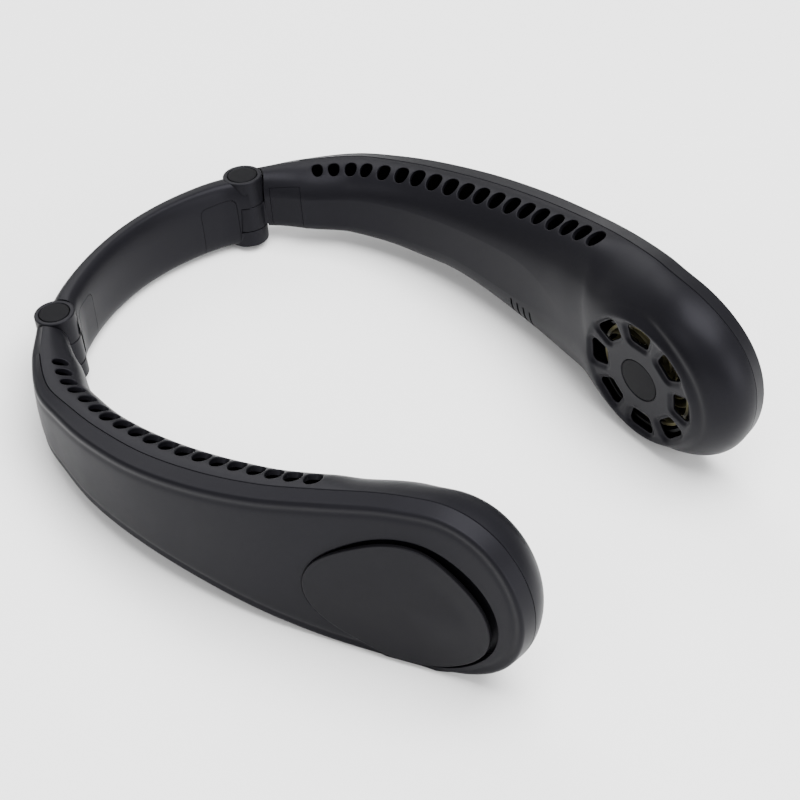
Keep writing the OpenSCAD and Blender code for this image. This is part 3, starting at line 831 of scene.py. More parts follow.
@dataclass(frozen=True)
class Winding:
    """Enamelled wire wound in turns, or an insulated lead."""

    name: str
    colour: tuple[float, float, float]
    turn: float = 0.35
    roughness: float = 0.3
    metallic: float = 0.7

    def material(self) -> bpy.types.Material:
        """Builds the finish.

        Returns:
            The material.
        """
        shop = Shop(self.name)
        own = shop.node("ShaderNodeTexCoord").out("Object")
        settings = {"wave_type": "BANDS", "bands_direction": "Z"}
        sockets = {"Vector": own, "Scale": 0.32 / (self.turn * MM), "Distortion": 0.4, "Detail": 1.0}
        turns = shop.node("ShaderNodeTexWave", settings, sockets).out("Fac")
        tone = shop.mix(turns, rgb(self.colour, 0.45), rgb(self.colour, 1.1))
        return shop.surface(
            Base_Color=tone, Roughness=self.roughness + (1 - turns) * 0.2, Metallic=self.metallic,
            Normal=shop.bump(turns, 0.1),
        )


@dataclass(frozen=True)
class Sheet:
    """Wrap film, board laminate or a light pipe: smooth, with a faint texture."""

    name: str
    colour: tuple[float, float, float]
    roughness: float = 0.35
    weave: float = 0.4
    depth: float = 0.01
    glow: float = 0.0

    def material(self) -> bpy.types.Material:
        """Builds the finish.

        Returns:
            The material.
        """
        shop = Shop(self.name)
        weave = shop.noise(self.weave, 2.0, 0.5)
        broad = shop.noise(6.0, 2.0, 0.5)
        tone = shop.mix(broad, rgb(self.colour, 0.85), rgb(self.colour, 1.12))
        return shop.surface(
            Base_Color=tone, Roughness=self.roughness + (weave - 0.5) * 0.12,
            Normal=shop.bump(weave, self.depth), Subsurface_Weight=self.glow,
        )


BLACK = (0.0042, 0.0041, 0.0052)


def coat(finish: Moulded | Metal | Winding | Sheet) -> bpy.types.Material:
    """A dataclass field that holds the material of a finish."""
    return field(default_factory=finish.material)


@dataclass
class Finishes:
    """Every finish of the part, made once."""

    shell: bpy.types.Material = coat(Moulded("outer_shell_plastic", BLACK))
    inner: bpy.types.Material = coat(Moulded("inner_shell_plastic", BLACK, roughness=0.4))
    panel: bpy.types.Material = coat(Moulded("panel_plastic", BLACK, roughness=0.44))
    cap: bpy.types.Material = coat(Moulded("cap_plastic", (0.0030, 0.0030, 0.0034), roughness=0.5, shine=0.05))
    plate: bpy.types.Material = coat(
        Moulded("plate_plastic", (0.0040, 0.0039, 0.0046), roughness=0.4, grain_depth=0.004))
    # Painted shade: the parts inside the heads and the socket take a black darker than the shell's, standing
    # in for the shade of the cavities they sit in.
    shade_dark_interior: bpy.types.Material = coat(Moulded("interior_plastic_painted_shade", (0.0020, 0.0020, 0.0018), roughness=0.5))
    # Painted shade: the wheel's khaki plastic is given a far darker olive, so that the blades deep in the
    # heads look shaded.
    fan: bpy.types.Material = coat(
        Moulded("fan_plastic", (0.078, 0.071, 0.038), roughness=0.34, grain_depth=0.002))
    button: bpy.types.Material = coat(
        Moulded("button_plastic", (0.0030, 0.0030, 0.0033), roughness=0.5, grain_depth=0.003))
    steel: bpy.types.Material = coat(Metal("hinge_steel", (0.56, 0.56, 0.58)))
    screw: bpy.types.Material = coat(
        Metal("screw_steel", (0.42, 0.42, 0.44), roughness=0.36, lines=(3.0, 3.0, 3.0)))
    socket: bpy.types.Material = coat(Metal("socket_steel", (0.62, 0.62, 0.63), roughness=0.26))
    winding: bpy.types.Material = coat(Winding("enamelled_winding", (0.026, 0.022, 0.012)))
    lead: bpy.types.Material = coat(
        Winding("lead_sheath", (0.10, 0.012, 0.012), turn=1.6, roughness=0.45, metallic=0.0))
    wrap: bpy.types.Material = coat(Sheet("cell_wrap", (0.03, 0.16, 0.07)))
    board: bpy.types.Material = coat(Sheet("board_laminate", (0.02, 0.10, 0.05), weave=0.25))
    light: bpy.types.Material = coat(Sheet("light_pipe", (0.70, 0.78, 0.88), roughness=0.15, glow=0.4))


# Arm


GUIDE = (-0.02, -0.0019, 0.0441, 0.1136, 0.1854, 0.2634, 0.3700, 0.4826, 0.5878, 0.6826, 0.7761, 0.8488,
         0.9249, 1.02)
ARM_REACH = 213.0
ARM_RISE = 25.0
ARM_HALF_SPAN = 98.9
ARM_DEPTH = 21.4
SEAM_DEPTH = 6.8
STATIONS = tuple(g * ARM_REACH for g in GUIDE)


@dataclass(frozen=True)
class ArmForm:
    """The outer form of an arm and its head, as smooth loops round the crease line.

    Reach f runs along the arm, depth w from the outer face towards the neck, level z upward. Each loop
    point lands on the inner face's middle line or, at the head, on the grille's ridge.
    """

    crease: Guide = Guide(STATIONS, (0.5500, 0.5935, 0.7219, 0.8574, 0.9232, 0.9707, 0.9990, 0.9869, 0.9434,
                                     0.8797, 0.8028, 0.7462, 0.7179, 0.7108), ARM_HALF_SPAN)
    top: Guide = Guide(STATIONS, (-0.060, -0.054, -0.024, 0.044, 0.124, 0.196, 0.304, 0.452, 0.62, 0.808,
                                  0.965, 1, 1, 1), ARM_RISE)
    bottom: Guide = Guide(STATIONS, (-0.837, -0.847, -0.873, -0.913, -0.953, -1.021, -1.069, -1.201, -1.385,
                                     -1.557, -1.681, -1.72, -1.72, -1.72), ARM_RISE)
    seam: Guide = Guide(STATIONS, (0.30, 0.32, 0.44, 0.62, 0.79, 0.93, 1, 1, 0.97, 0.95, 0.94, 0.94, 0.94,
                                   0.94), SEAM_DEPTH)
    inner: Guide = Guide(STATIONS, (0.44, 0.46, 0.74, 0.87, 0.91, 0.98, 1.08, 1.12, 1.13, 1.18, 1.22, 1.22,
                                    1.22, 1.22), ARM_DEPTH)
    slant: Guide = Guide(STATIONS, (0.128, 0.128, 0.115, 0.085, 0.065, 0.05, 0.042, 0.036, 0.03, 0.03, 0.03,
                                    0.03, 0.03, 0.03))
    head_radius: float = 34.0
    head_f: float = ARM_REACH * 0.838
    head_z: float = ARM_RISE * -0.36
    seam_rise: float = 1.0
    seam_rise_low: float = 0.1
    seam_gap: float = 0.1
    crown: float = 0.6
    crown_low: float = -0.4
    arm_short: float = 12.0
    face_bulge: float = 0.6
    ridge_radius: float = 25.5
    ridge_start: float = ARM_REACH * 0.7
    grille_at: tuple[float, float, float] = (54.0, -ARM_REACH * 0.8047, -ARM_RISE * 0.472)
    grille_yaw: float = 11.1
    grille_pitch: float = -5.5
    start: float = -0.018 * ARM_REACH
    arc_over: float = 10.6
    wall: float = 1.8
    arm_steps: int = 96
    head_steps: int = 124
    corner: float = 89.1
    meet_f: float = 155.2
    meet_soft: float = 9.0
    half_land: float = 0.4
    pace: Guide = Guide(
        (-200.0, -60.0, -40.0, -24.0, -14.0, -6.3, 3.4, 13.2, 23.0, 26.8, 40.0, 60.0, 84.4),
        (-206.1, -66.1, -45.6, -27.7, -14.5, -2.0, 17.0, 33.5, 44.6, 47.7, 57.0, 68.5, 80.1))
    settle: float = 45.0
    squareness: Guide = Guide(
        (-89.1, -45.0, 0.0, 45.0, 90.0, 135.0, 180.0, 225.0, 269.1),
        (2.55, 1.65, 1.58, 2.34, 2.05, 1.28, 1.30, 1.50, 1.80))
    square_top: tuple[float, float] = (2.4, 2.65)
    square_low: tuple[float, float] = (7.0, 3.8)
    square_from: float = 0.05
    square_over: float = 0.28
    head_from: float = 61.8
    head_over: float = 68.4
    valley: tuple[float, float, float] = (0.8, 28.4, 1.8)
    edge_dip: tuple[float, float, float] = (0.28, 3.1, 1.1)

    @property
    def seam_radius(self) -> float:
        """Radius of the seam line round the head, at its top."""
        return self.head_radius + self.seam_rise

    @property
    def arc_f(self) -> float:
        """Reach at which the head's arc starts."""
        return self.head_f - self.seam_radius * math.sin(math.radians(self.arc_over))

    @property
    def half_run(self) -> float:
        """Length of the loop from where the head starts to its tip."""
        return self.arc_f - self.ridge_start + self.seam_radius * math.radians(90 + self.arc_over)

    @property
    def grille(self) -> Array:
        """Frame of the grille: x up, y forward, z towards the neck."""
        return moved(*self.grille_at) @ turned(0, self.grille_pitch - 90, -self.grille_yaw)

    def inward(self, f: Array) -> Array:
        """Unit direction towards the neck at reach f."""
        r = self.crease(f + 0.5) - self.crease(f - 0.5)
        return np.stack([-np.ones_like(r), -r, np.zeros_like(r)], -1) / np.sqrt(1 + r * r)[..., None]

    def spot(self, f: Array | float, w: Array | float, z: Array | float) -> Array:
        """Point at reach f, depth w behind the outer face and level z.

        Args:
            f: Reach along the arm.
            w: Depth behind the outer face.
            z: Level.

        Returns:
            Points (..., 3).
        """
        f, w, z = np.broadcast_arrays(np.asarray(f, float), np.asarray(w, float), np.asarray(z, float))
        base = np.stack([self.crease(f), -f, z], -1)
        return base + self.inward(f) * (w + self.slant(f) * (self.top(f) - z))[..., None]

    def frame_at(self, f: float, w: float, z: float) -> Array:
        """Frame at a point of the arm, its x pointing outward from the neck."""
        n = self.inward(np.array(f))
        return moved(*self.spot(f, w, z)) @ turned(0, 0, math.degrees(math.atan2(n[1], n[0])) + 180)

    def run(self, start: float) -> tuple[Array, Array, Array]:
        """Run along the half loop, from an arm's start to the tip.

        Args:
            start: Reach at which the loop starts.

        Returns:
            For each point its run from where the head starts, its way along the line that it lands on,
            and whether it lies in the lower half.
        """
        fine = np.linspace(start - self.ridge_start, self.half_run, 4000)
        way = self.pace(fine * np.where(fine > 0, self.pace.stations[-1] / self.half_run, 1))
        arm = np.linspace(way[0], 0, self.arm_steps + 1)[:-1]
        head = np.linspace(0, way[-1], self.head_steps + 1)
        lands = np.r_[arm, head]
        half = np.interp(lands, way, fine)
        low = np.r_[np.zeros(len(half), bool), np.ones(len(half) - 1, bool)]
        return np.r_[half, half[-2::-1]], np.r_[lands, lands[-2::-1]], low

    def outline(self, inset: float, start: float, at_seam: float = 1.0) -> Array:
        """Reach and level of each loop point.

        Args:
            inset: How far the loop lies inside the form.
            start: Reach at which the loop starts.
            at_seam: One on the seam line, zero on the crease line.

        Returns:
            Points (n, 2).
        """
        u, _, low = self.run(start)
        on_arc = u > self.arc_f - self.ridge_start
        f = self.ridge_start + u
        turn = np.radians(-self.arc_over) + (u - (self.arc_f - self.ridge_start)) / self.seam_radius
        turn = np.where(low, math.pi - turn, turn)
        rise = self.seam_rise_low + (self.seam_rise - self.seam_rise_low) * (1 + np.cos(turn)) / 2
        r = self.head_radius + at_seam * rise - inset
        line = np.where(low, self.bottom(f) - at_seam * self.seam_rise_low + inset,
                        self.top(f) + at_seam * self.seam_rise - inset)
        loop = np.stack([np.where(on_arc, self.head_f + r * np.sin(turn), f),
                         np.where(on_arc, self.head_z + r * np.cos(turn), line)], 1)
        near = bell(u, self.arc_f - self.ridge_start, self.meet_soft)[:, None]
        for _ in range(40):
            mid = (np.roll(loop, 1, 0) + np.roll(loop, -1, 0)) / 2
            loop[1:-1] += (0.5 * near * (mid - loop))[1:-1]
        return loop

    def ridge_angle(self, way: Array, low: Array) -> Array:
        """Angle on the grille's ridge, in degrees from its top, for a way along the landing line."""
        a = -self.corner + (90 + self.corner) * np.maximum(way, 0) / way.max()
        return np.where(low, 180 - a, a)

    def ridge_point(self, angle: Array, r: Array | float, d: Array | float) -> Array:
        """Point in the grille's frame, as a point of the maker's frame.

        Args:
            angle: Degrees from the grille's top.
            r: Radius.
            d: Height towards the neck.

        Returns:
            Points (..., 3).
        """
        a = np.radians(angle)
        r, d, a = np.broadcast_arrays(np.asarray(r, float), np.asarray(d, float), a)
        local = np.stack([r * np.cos(a), -r * np.sin(a), d], -1)
        return carried(local, self.grille)

    def landing(self, inset: float, start: float) -> Array:
        """Where each loop point lands on the inner face: the middle line, or the ridge.

        Args:
            inset: How far the loop lies inside the form.
            start: Reach at which the loop starts.

        Returns:
            Points (n, 3).
        """
        _, way, low = self.run(start)
        side = np.where(low, -self.half_land, self.half_land)
        on_ridge = self.ridge_point(self.ridge_angle(way, low), self.ridge_radius - inset, -inset)

        def on_line(f: Array) -> Array:
            """Point of the middle line at reach f."""
            return self.spot(f, self.inner(f) - inset, (self.top(f) + self.bottom(f)) / 2 + side)

        meet = np.full(len(way), self.meet_f)
        first = np.where(low, 180 + self.corner, -self.corner)
        corner = self.ridge_point(first, self.ridge_radius - inset, -inset)
        jump = (corner - on_line(meet)) * eased(1 + way / self.settle)[:, None]
        return np.where((way < 0)[:, None], on_line(self.meet_f + np.minimum(way, 0)) + jump, on_ridge)

    def softness(self, f: Array, start: float) -> Array:
        """Exponent of the section at each loop point.

        Args:
            f: Reach of each loop point.
            start: Reach at which the loop starts.

        Returns:
            One exponent for each point.
        """
        _, way, low = self.run(start)
        head = self.squareness(self.ridge_angle(way, low))
        t = np.clip((f / ARM_REACH - self.square_from) / self.square_over, 0, 1)
        (top, top_far), (under, under_far) = self.square_top, self.square_low
        arm = np.where(low, under + (under_far - under) * t, top + (top_far - top) * t)
        t = eased((way + self.head_from) / self.head_over)
        return arm * (1 - t) + head * t

    def inner_ring(self, s: float, inset: float, start: float, edge: float = 0.0, deep: float = 0.0) -> Array:
        """Loop on the inner form.

        Args:
            s: Zero at the seam, one where the form lands.
            inset: How far the loop lies inside the form.
            start: Reach at which the loop starts.
            edge: Further inset of the seam edge alone.
            deep: Further depth of the seam edge alone.

        Returns:
            Points (n, 3).
        """
        o = self.outline(inset, start)
        f = o[:, 0]
        _, way, low = self.run(start)
        p, n = self.spot(f, self.seam(f), o[:, 1]), self.inward(f)
        t = self.landing(inset, start) - p
        d = (t * n).sum(1)[:, None] * n
        e = t - d
        angle = np.radians(s * (90 - self.arm_short * eased((-way - 4) / self.settle)))
        q = 2 / self.softness(f, start)
        h = np.sin(angle) ** q
        fade = eased(-way / self.settle) * np.where(low, self.crown_low, 1)
        lift = 4 * self.crown * h * (1 - h) * fade
        out = p + d * h[:, None] + e * (1 - np.maximum(np.cos(angle), 0) ** q)[:, None]
        out[:, 2] += lift
        if edge or deep:
            out = self.spot(f, self.seam(f) + deep, self.outline(inset + edge, start)[:, 1])
        return out

    def level_ring(self, w: float, inset: float, start: float, at_seam: float = 1.0) -> Array:
        """Loop parallel to the seam, w behind it."""
        o = self.outline(inset, start, at_seam)
        return self.spot(o[:, 0], self.seam(o[:, 0]) + w, o[:, 1])

    def face_ring(self, s: float, w: float, inset: float, start: float) -> Array:
        """Loop on the outer face, s of the way from the crease to the middle line.

        Args:
            s: Zero at the crease, one at the middle line.
            w: Depth behind the face.
            inset: How far the loop lies inside the form.
            start: Reach at which the loop starts.

        Returns:
            Points (n, 3).
        """
        o, edge = self.outline(inset, start, 0.0), self.outline(0, start, 0.0)
        m = np.minimum(o[:, 0], self.head_f)
        mid = np.stack([m, (self.top(m) + self.bottom(m)) / 2], 1)
        q = o + (mid - o) * s
        x, whole = np.linalg.norm(q - edge, axis=1), np.linalg.norm(mid - edge, axis=1)
        depth, middle, width = self.edge_dip
        dip = depth * bell(x, middle, width)
        return self.spot(q[:, 0], w + dip - self.face_bulge * (x / whole) * (2 - x / whole), q[:, 1])

    def on_grille(self, points: Array) -> tuple[Array, Array, Array]:
        """Radius, angle from the top in degrees and height of points in the grille's frame.

        Args:
            points: Points (..., 3) in the maker's frame.

        Returns:
            The three values of each.
        """
        local = carried(points, np.linalg.inv(self.grille))
        return (np.hypot(local[..., 0], local[..., 1]), np.degrees(np.arctan2(-local[..., 1], local[..., 0])),
                local[..., 2])

    def dipped(self, points: Array) -> Array:
        """Points of the inner face lowered in a soft valley outside the grille's ridge.

        Args:
            points: Points (n, 3).

        Returns:
            The lowered points.
        """
        r, a, d = self.on_grille(points)
        side = eased((np.cos(np.radians(a - 60)) + 0.5) / 1.1)
        depth, radius, width = self.valley
        dip = depth * bell(r, radius, width) * side * eased((d + 5) / 4)
        return points - dip[..., None] * self.grille[:3, 2]

    def closed(self, rings: list[Array], first: Array, last: Array, patch: list[Array] | None = None) -> Solid:
        """Solid through loops that are zipped along the arm and fanned over the head.

        Args:
            rings: The loops.
            first: Middle of the fan over the first loop's head.
            last: Middle of the fan over the last loop's head.
            patch: Full circles that fill the head of the last loop, where it has a grille.

        Returns:
            The solid.
        """
        n, m, k0 = len(rings[0]), len(rings), self.arm_steps
        k1 = n - 1 - k0
        points = np.vstack(rings + [first[None], last[None]])
        hub_a, hub_b, z = m * n, m * n + 1, (m - 1) * n
        faces = bands(n, m)
        for j in range(k0):
            faces.append((j, n - 1 - j, n - 2 - j, j + 1))
            faces.append((z + j, z + j + 1, z + n - 2 - j, z + n - 1 - j))
        faces += [(hub_a, i + 1, i) for i in range(k0, k1)] + [(hub_a, k0, k1)]
        if patch is None:
            faces += [(hub_b, z + i, z + i + 1) for i in range(k0, k1)] + [(hub_b, z + k1, z + k0)]
            return Solid(points, faces)
        size = len(patch[0])
        base = len(points)
        points = np.vstack([points] + patch)
        rim = [z + i for i in range(k0, k1 + 1)]
        for r in range(1, len(patch)):
            row = [base + r * size + i for i in range(size)]
            faces += [(rim[i], rim[(i + 1) % size], row[(i + 1) % size], row[i]) for i in range(size)]
            rim = row
        faces += [(hub_b, rim[i], rim[(i + 1) % size]) for i in range(size)]
        return Solid(points, faces)


@dataclass
class Grille:
    """The dished field with its slots, ridge and centre disc.

    A slot is the hull of two circles near the middle and two near the rim.
    """

    form: ArmForm
    radius: float = 24.5
    recess: float = 0.5
    slots: int = 8
    phase: float = 0.6
    lip: float = 1.9
    lip_depth: float = 0.95
    lip_reach: float = 1.08
    slope: float = 2.6
    rim_fade: float = 1.6
    disc_gap: float = 0.15
    seat_lip: float = 0.42
    seat_depth: float = 1.2
    above: float = 4.0
    below: float = -9.0
    back: float = -3.2
    rows: int = 84
    disc_share: float = 0.331
    slot_inner: tuple[float, float, float] = (0.715, 2.5, 1.8)
    slot_outer: tuple[float, float, float] = (0.862, 3.2, 2.1)

    @property
    def disc_radius(self) -> float:
        """Radius of the centre disc."""
        return self.radius * self.disc_share

    def outlines(self) -> list[Array]:
        """Plane outline of each slot in the grille's frame.

        Returns:
            Points (n, 2) for each slot.
        """
        ends = [(self.radius * share, side * half, r)
                for share, half, r in (self.slot_inner, self.slot_outer) for side in (-1, 1)]
        base = hull_outline(ends, 84)
        made = []
        for i in range(self.slots):
            a = math.radians(self.phase + i * 360 / self.slots)
            made.append(base @ np.array([[math.cos(a), math.sin(a)], [-math.sin(a), math.cos(a)]]))
        return made

    def rings(self, start: float) -> list[Array]:
        """Full circles from the ridge to the middle, dished round every slot.

        Args:
            start: Reach at which the arm's loops start.

        Returns:
            Rings of points in the maker's frame.
        """
        _, way, low = self.form.run(start)
        k0 = self.form.arm_steps
        a = self.form.ridge_angle(way, low)[k0: len(way) - k0]
        rows = []
        for r in self.form.ridge_radius * (1 - np.linspace(0, 1, self.rows + 1)[:-1]):
            at = np.stack([r * np.cos(np.radians(a)), -r * np.sin(np.radians(a))], 1)
            d = -self.recess * eased((self.form.ridge_radius - r) / self.slope) * np.ones(len(a))
            fade = min(1.0, (self.form.ridge_radius - r) / self.rim_fade)
            for slot in self.outlines():
                d -= self.lip_depth * eased(self.lip_reach - distance_to(slot, at) / self.lip) * fade
            rows.append(self.form.ridge_point(a, r, d))
        return rows

    def cutters(self) -> Solid:
        """Openings through the field: the slots and the seat of the disc.

        Returns:
            One solid that holds them all.
        """
        r, rim, level = self.disc_radius + self.disc_gap, self.disc_radius + self.seat_lip, -self.recess
        seat = lathed([(0, level - self.seat_depth), (r, level - self.seat_depth), (r, level - 0.3),
                       (rim, level), (rim, self.above), (0, self.above)], 120)
        slots = [prism(outline, self.below, self.above) for outline in self.outlines()]
        return merged([seat] + slots).at(self.form.grille)

    def disc(self) -> Solid:
        """The cap in the middle of the grille.

        Returns:
            The solid.
        """
        r, crown = self.disc_radius, 0.12
        top, low = -self.recess - crown, -self.recess - 1.1
        profile = [(0, low), (r, low)] + fillet(r, top, 0.3, True, outward=False)
        profile += [(r * s, top + crown * (1 - s * s)) for s in (0.8, 0.6, 0.4, 0.2, 0)]
        return lathed(profile, 120).at(self.form.grille)


@dataclass(frozen=True)
class Egg:
    """A smooth egg-shaped outline in reach and level: a mean radius and its waves round the middle."""

    mean: float
    waves: tuple[tuple[float, float], ...]
    middle: tuple[float, float] = (172.0, -14.5)

    def __call__(self, grow: float, count: int = 220) -> Array:
        """Points of the outline, grown along its normals.

        Args:
            grow: How far outward.
            count: Number of points.

        Returns:
            Points (count, 2).
        """
        t = np.linspace(0, 2 * math.pi, count, endpoint=False)
        r = self.mean + sum(c * np.cos(k * t) + s * np.sin(k * t) for k, (c, s) in enumerate(self.waves, 1))
        return grown(np.stack([r * np.cos(t), r * np.sin(t)], 1) + self.middle, grow)


@dataclass
class HingeLine:
    """Where the hinge of an arm stands and how its barrels are divided."""

    half_span: float = 50.0
    radius: float = 7.16
    height: float = 26.6
    upper: float = 10.2
    middle: float = 9.6
    gap: float = 0.3
    pin: float = 2.0
    lean: float = 7.36
    splay: float = 2.39
    face_turn: float = -21.2
    tab_turn: float = -30.2
    root_turn: float = 157.0
    root_thick: float = 4.4
    neck_turn: float = -37.7
    cover_turn: float = -55.0
    hug: float = 0.5
    clear: float = 20.0
    trim_share: float = 0.7
    tab_share: float = 2.5
    tab_inset: float = 0.9
    neck_share: float = 3.1
    cover_shares: tuple[float, float, float] = (1.34, 2.88, 1.2)
    cover_top: float = 0.2
    cover_low: float = -60.0

    @property
    def place(self) -> Array:
        """Frame of the hinge, its origin at the middle of the cap."""
        return moved(self.half_span, 0, 0) @ turned(-self.lean, self.splay, 0)

    @property
    def middle_top(self) -> float:
        """Upper end of the arm's barrel."""
        return -self.upper - self.gap

    @property
    def middle_low(self) -> float:
        """Lower end of the arm's barrel."""
        return self.middle_top - self.middle

    @property
    def lower_top(self) -> float:
        """Upper end of the lower barrel."""
        return self.middle_low - self.gap

    def facing(self, degrees: float) -> Array:
        """Frame of the hinge turned about its pin."""
        return self.place @ turned(0, 0, degrees)

    def end_cut(self) -> list[Solid]:
        """Block and round that trim an arm at its hinge end, so that it hugs the barrels."""
        return [box(-BIG, self.radius * self.trim_share, -BIG, BIG, -BIG, BIG).at(self.facing(self.face_turn)),
                plug(self.radius + self.hug, -self.height - self.clear, self.clear).at(self.place)]

    def tab_opening(self) -> Solid:
        """Slot in the arm's end that takes the tab.

        Returns:
            The cutter.
        """
        t = self.root_thick / 2
        low, top = self.middle_low + self.tab_inset, self.middle_top - self.tab_inset
        slot = box(2, self.radius * self.tab_share + 0.2, -t - 0.7, t - 1.1, low, top)
        return slot.at(self.facing(self.tab_turn))

    def neck_zone(self, gap: float) -> Solid:
        """Everything on the hinge side of the line where the shells' neck ends."""
        end = self.radius * self.neck_share + gap
        return box(-BIG, end, -BIG, BIG, -BIG, BIG).at(self.facing(self.neck_turn))

    def cover_zone(self, gap: float) -> Solid:
        """Block that outlines the panel on the arm.

        Args:
            gap: Room left round the panel.

        Returns:
            The block.
        """
        near, far, half = (self.radius * share for share in self.cover_shares)
        top = -self.height * self.cover_top + gap
        return box(near - gap, far + gap, -half, half, self.cover_low, top).at(self.facing(self.cover_turn))


@dataclass
class Arm:
    """One arm: inner shell with its grille, outer shell, panel, plate and hinge tab."""

    bench: Bench
    finishes: Finishes
    form: ArmForm = field(default_factory=ArmForm)
    hinge: HingeLine = field(default_factory=HingeLine)
    vents: int = 19
    vent_tilt: float = 38.0
    vent_lip: float = 0.35
    panel_depth: float = 1.0
    panel_gap: float = 0.15
    crease_soft: float = 1.3
    recess_depth: float = 3.3
    plate_proud: float = 1.8
    plate_thick: float = 1.5
    recess: Egg = Egg(29.09, ((0.79, -0.28), (2.16, -0.25), (-0.66, -0.17), (0.71, 0.41)))
    plate: Egg = Egg(26.84, ((-0.43, -0.62), (2.33, -0.89), (-0.57, -0.36), (0.97, 0.02)))
    recess_soft: float = 0.8
    recess_lip: float = 0.42
    plate_soft: float = 0.32
    post_radius: float = 1.6
    post_spots: tuple[tuple[float, float], ...] = ((0.86, -0.2), (0.86, -1.1), (0.72, -0.7))
    intakes: int = 12
    intake_at: float = 12.25
    intake_radius: float = 2.0
    slits: int = 4
    slit_half: float = 0.42
    slit_depth: float = 22.5
    slit_from: float = 0.5122
    slit_step: float = 0.0165
    slit_level: float = -23.6
    slit_fall: float = 0.3
    control_w: float = ARM_DEPTH * 0.58
    button_at: float = ARM_REACH * 0.29
    light_at: float = ARM_REACH * 0.33
    socket_at: float = ARM_REACH * 0.37
    button_half: float = 2.6
    button_end: float = 2.5
    light_radius: float = 1.18
    socket_half: tuple[float, float] = (1.7, 4.55)
    boss_half: tuple[float, float] = (3.8, 6.1)
    cavity_start: float = ARM_REACH * 0.03
    vent_knots: tuple[int, ...] = (0, 3, 6, 9, 12, 15, 18)
    vent_depth: tuple[float, ...] = (9.99, 12.44, 13.58, 15.16, 15.15, 14.56, 13.04)
    vent_length: tuple[float, ...] = (5.2, 5.8, 6.9, 7.2, 7.3, 7.3, 7.2)
    vent_width: tuple[float, ...] = (3.9, 4.4, 5.2, 5.5, 5.5, 5.6, 5.8)
    vent_marks: tuple[int, ...] = (0, 1, 2, 3, 6, 9, 12, 15, 18)
    vent_shares: tuple[float, ...] = (0.0623, 0.0846, 0.1131, 0.1479, 0.2464, 0.3527, 0.4594, 0.5633, 0.6607)

    @property
    def grille(self) -> Grille:
        """The grille of this arm's head."""
        return Grille(self.form)

    def hub(self, w: float) -> Array:
        """Middle of the head, w behind the outer face."""
        return self.form.spot(self.form.head_f, w, self.form.head_z)

    def seam_hub(self, w: float) -> Array:
        """Middle of the head, w behind the seam."""
        return self.hub(float(self.form.seam(self.form.head_f)) + w)

    def inner_solid(self) -> Solid:
        """The inner half as a full solid with its dished grille.

        Returns:
            The solid, before anything is cut out.
        """
        form, start = self.form, self.form.start
        rings = [form.inner_ring(0, 0, start, edge=0.22), form.inner_ring(0, 0, start, deep=0.2, edge=1e-4)]
        share = np.r_[0.03, 0.05, 0.075, 0.105, np.linspace(0.14, 1, 40)]
        rings += [form.dipped(form.inner_ring(s, 0, start)) for s in share]
        middle = carried(np.array([0, 0, -0.8]), form.grille)
        solid = form.closed(rings, self.seam_hub(0), middle, self.grille.rings(start))
        r, _, d = form.on_grille(solid.points)
        solid = solid.relaxed(bell(r, form.ridge_radius + 0.4, 1.5) * eased((d + 4) / 2), 10)
        way = form.run(start)[1]
        fold = np.outer(np.r_[0, 0, eased((share - 0.1) / 0.4)], bell(way, 0, 8)).ravel()
        return solid.relaxed(np.r_[fold, np.zeros(len(solid.points) - len(fold))], 30)

    def inner_hollow(self) -> Solid:
        """What is taken out of the inner half.

        Returns:
            The cutter.
        """
        form, start, wall = self.form, self.cavity_start, self.form.wall
        rings = [form.level_ring(-3, wall, start)]
        rings += [form.inner_ring(s, wall, start) for s in np.linspace(0, 1, 22)]
        return form.closed(rings, self.seam_hub(-3), form.ridge_point(np.array(0.0), 0, self.grille.back))

    def crease_rings(self) -> list[Array]:
        """Loops round the softened crease, from the face to the side."""
        r = self.crease_soft
        return [self.form.face_ring(0, r * a, r * b, self.form.start) for a, b in quarter(6)]

    def outer_solid(self) -> Solid:
        """The outer half as a full solid with its softened crease.

        Returns:
            The solid, before anything is cut out.
        """
        form, start = self.form, self.form.start
        shares = (0.98, 0.9, 0.8, 0.7, 0.6, 0.5, 0.4, 0.3, 0.2, 0.1, 0)
        rings = [form.face_ring(s, 0, 6.5, start) for s in shares]
        rings += [form.face_ring(0, 0, x, start) for x in (5.6, 4.9, 4.3, 3.9, 3.5, 3.1, 2.7, 2.3, 1.9, 1.6)]
        rings += self.crease_rings()
        crease, edge = rings[-1], form.level_ring(-form.seam_gap - 0.2, 0, start)
        rings += [crease + (edge - crease) * t for t in (0.25, 0.5, 0.75)]
        rings += [edge, form.level_ring(-form.seam_gap, 0.22, start)]
        return form.closed(rings, self.hub(-form.face_bulge), self.seam_hub(-form.seam_gap))

    def outer_hollow(self) -> Solid:
        """What is taken out of the outer half.

        Returns:
            The cutter.
        """
        form, start, wall = self.form, self.cavity_start, self.form.wall
        rings = [form.face_ring(s, wall, wall, start) for s in (0.98, 0.8, 0.6, 0.4, 0.2, 0)]
        rings.append(form.level_ring(2, wall, start))
        return form.closed(rings, self.hub(wall - form.face_bulge), self.seam_hub(2))

    def skin(self, above: float, share: float) -> Solid:
        """The inner form from a share of its depth on, grown or shrunk.

        Args:
            above: How far it is grown, or shrunk where negative.
            share: Where it starts: zero at the seam, one where the form lands.

        Returns:
            The solid.
        """
        form = self.form
        rings = [form.inner_ring(s, -above, form.start) for s in np.linspace(share, 1, 30)]
        return form.closed(rings, self.seam_hub(6), carried(np.array([0, 0, above]), form.grille))

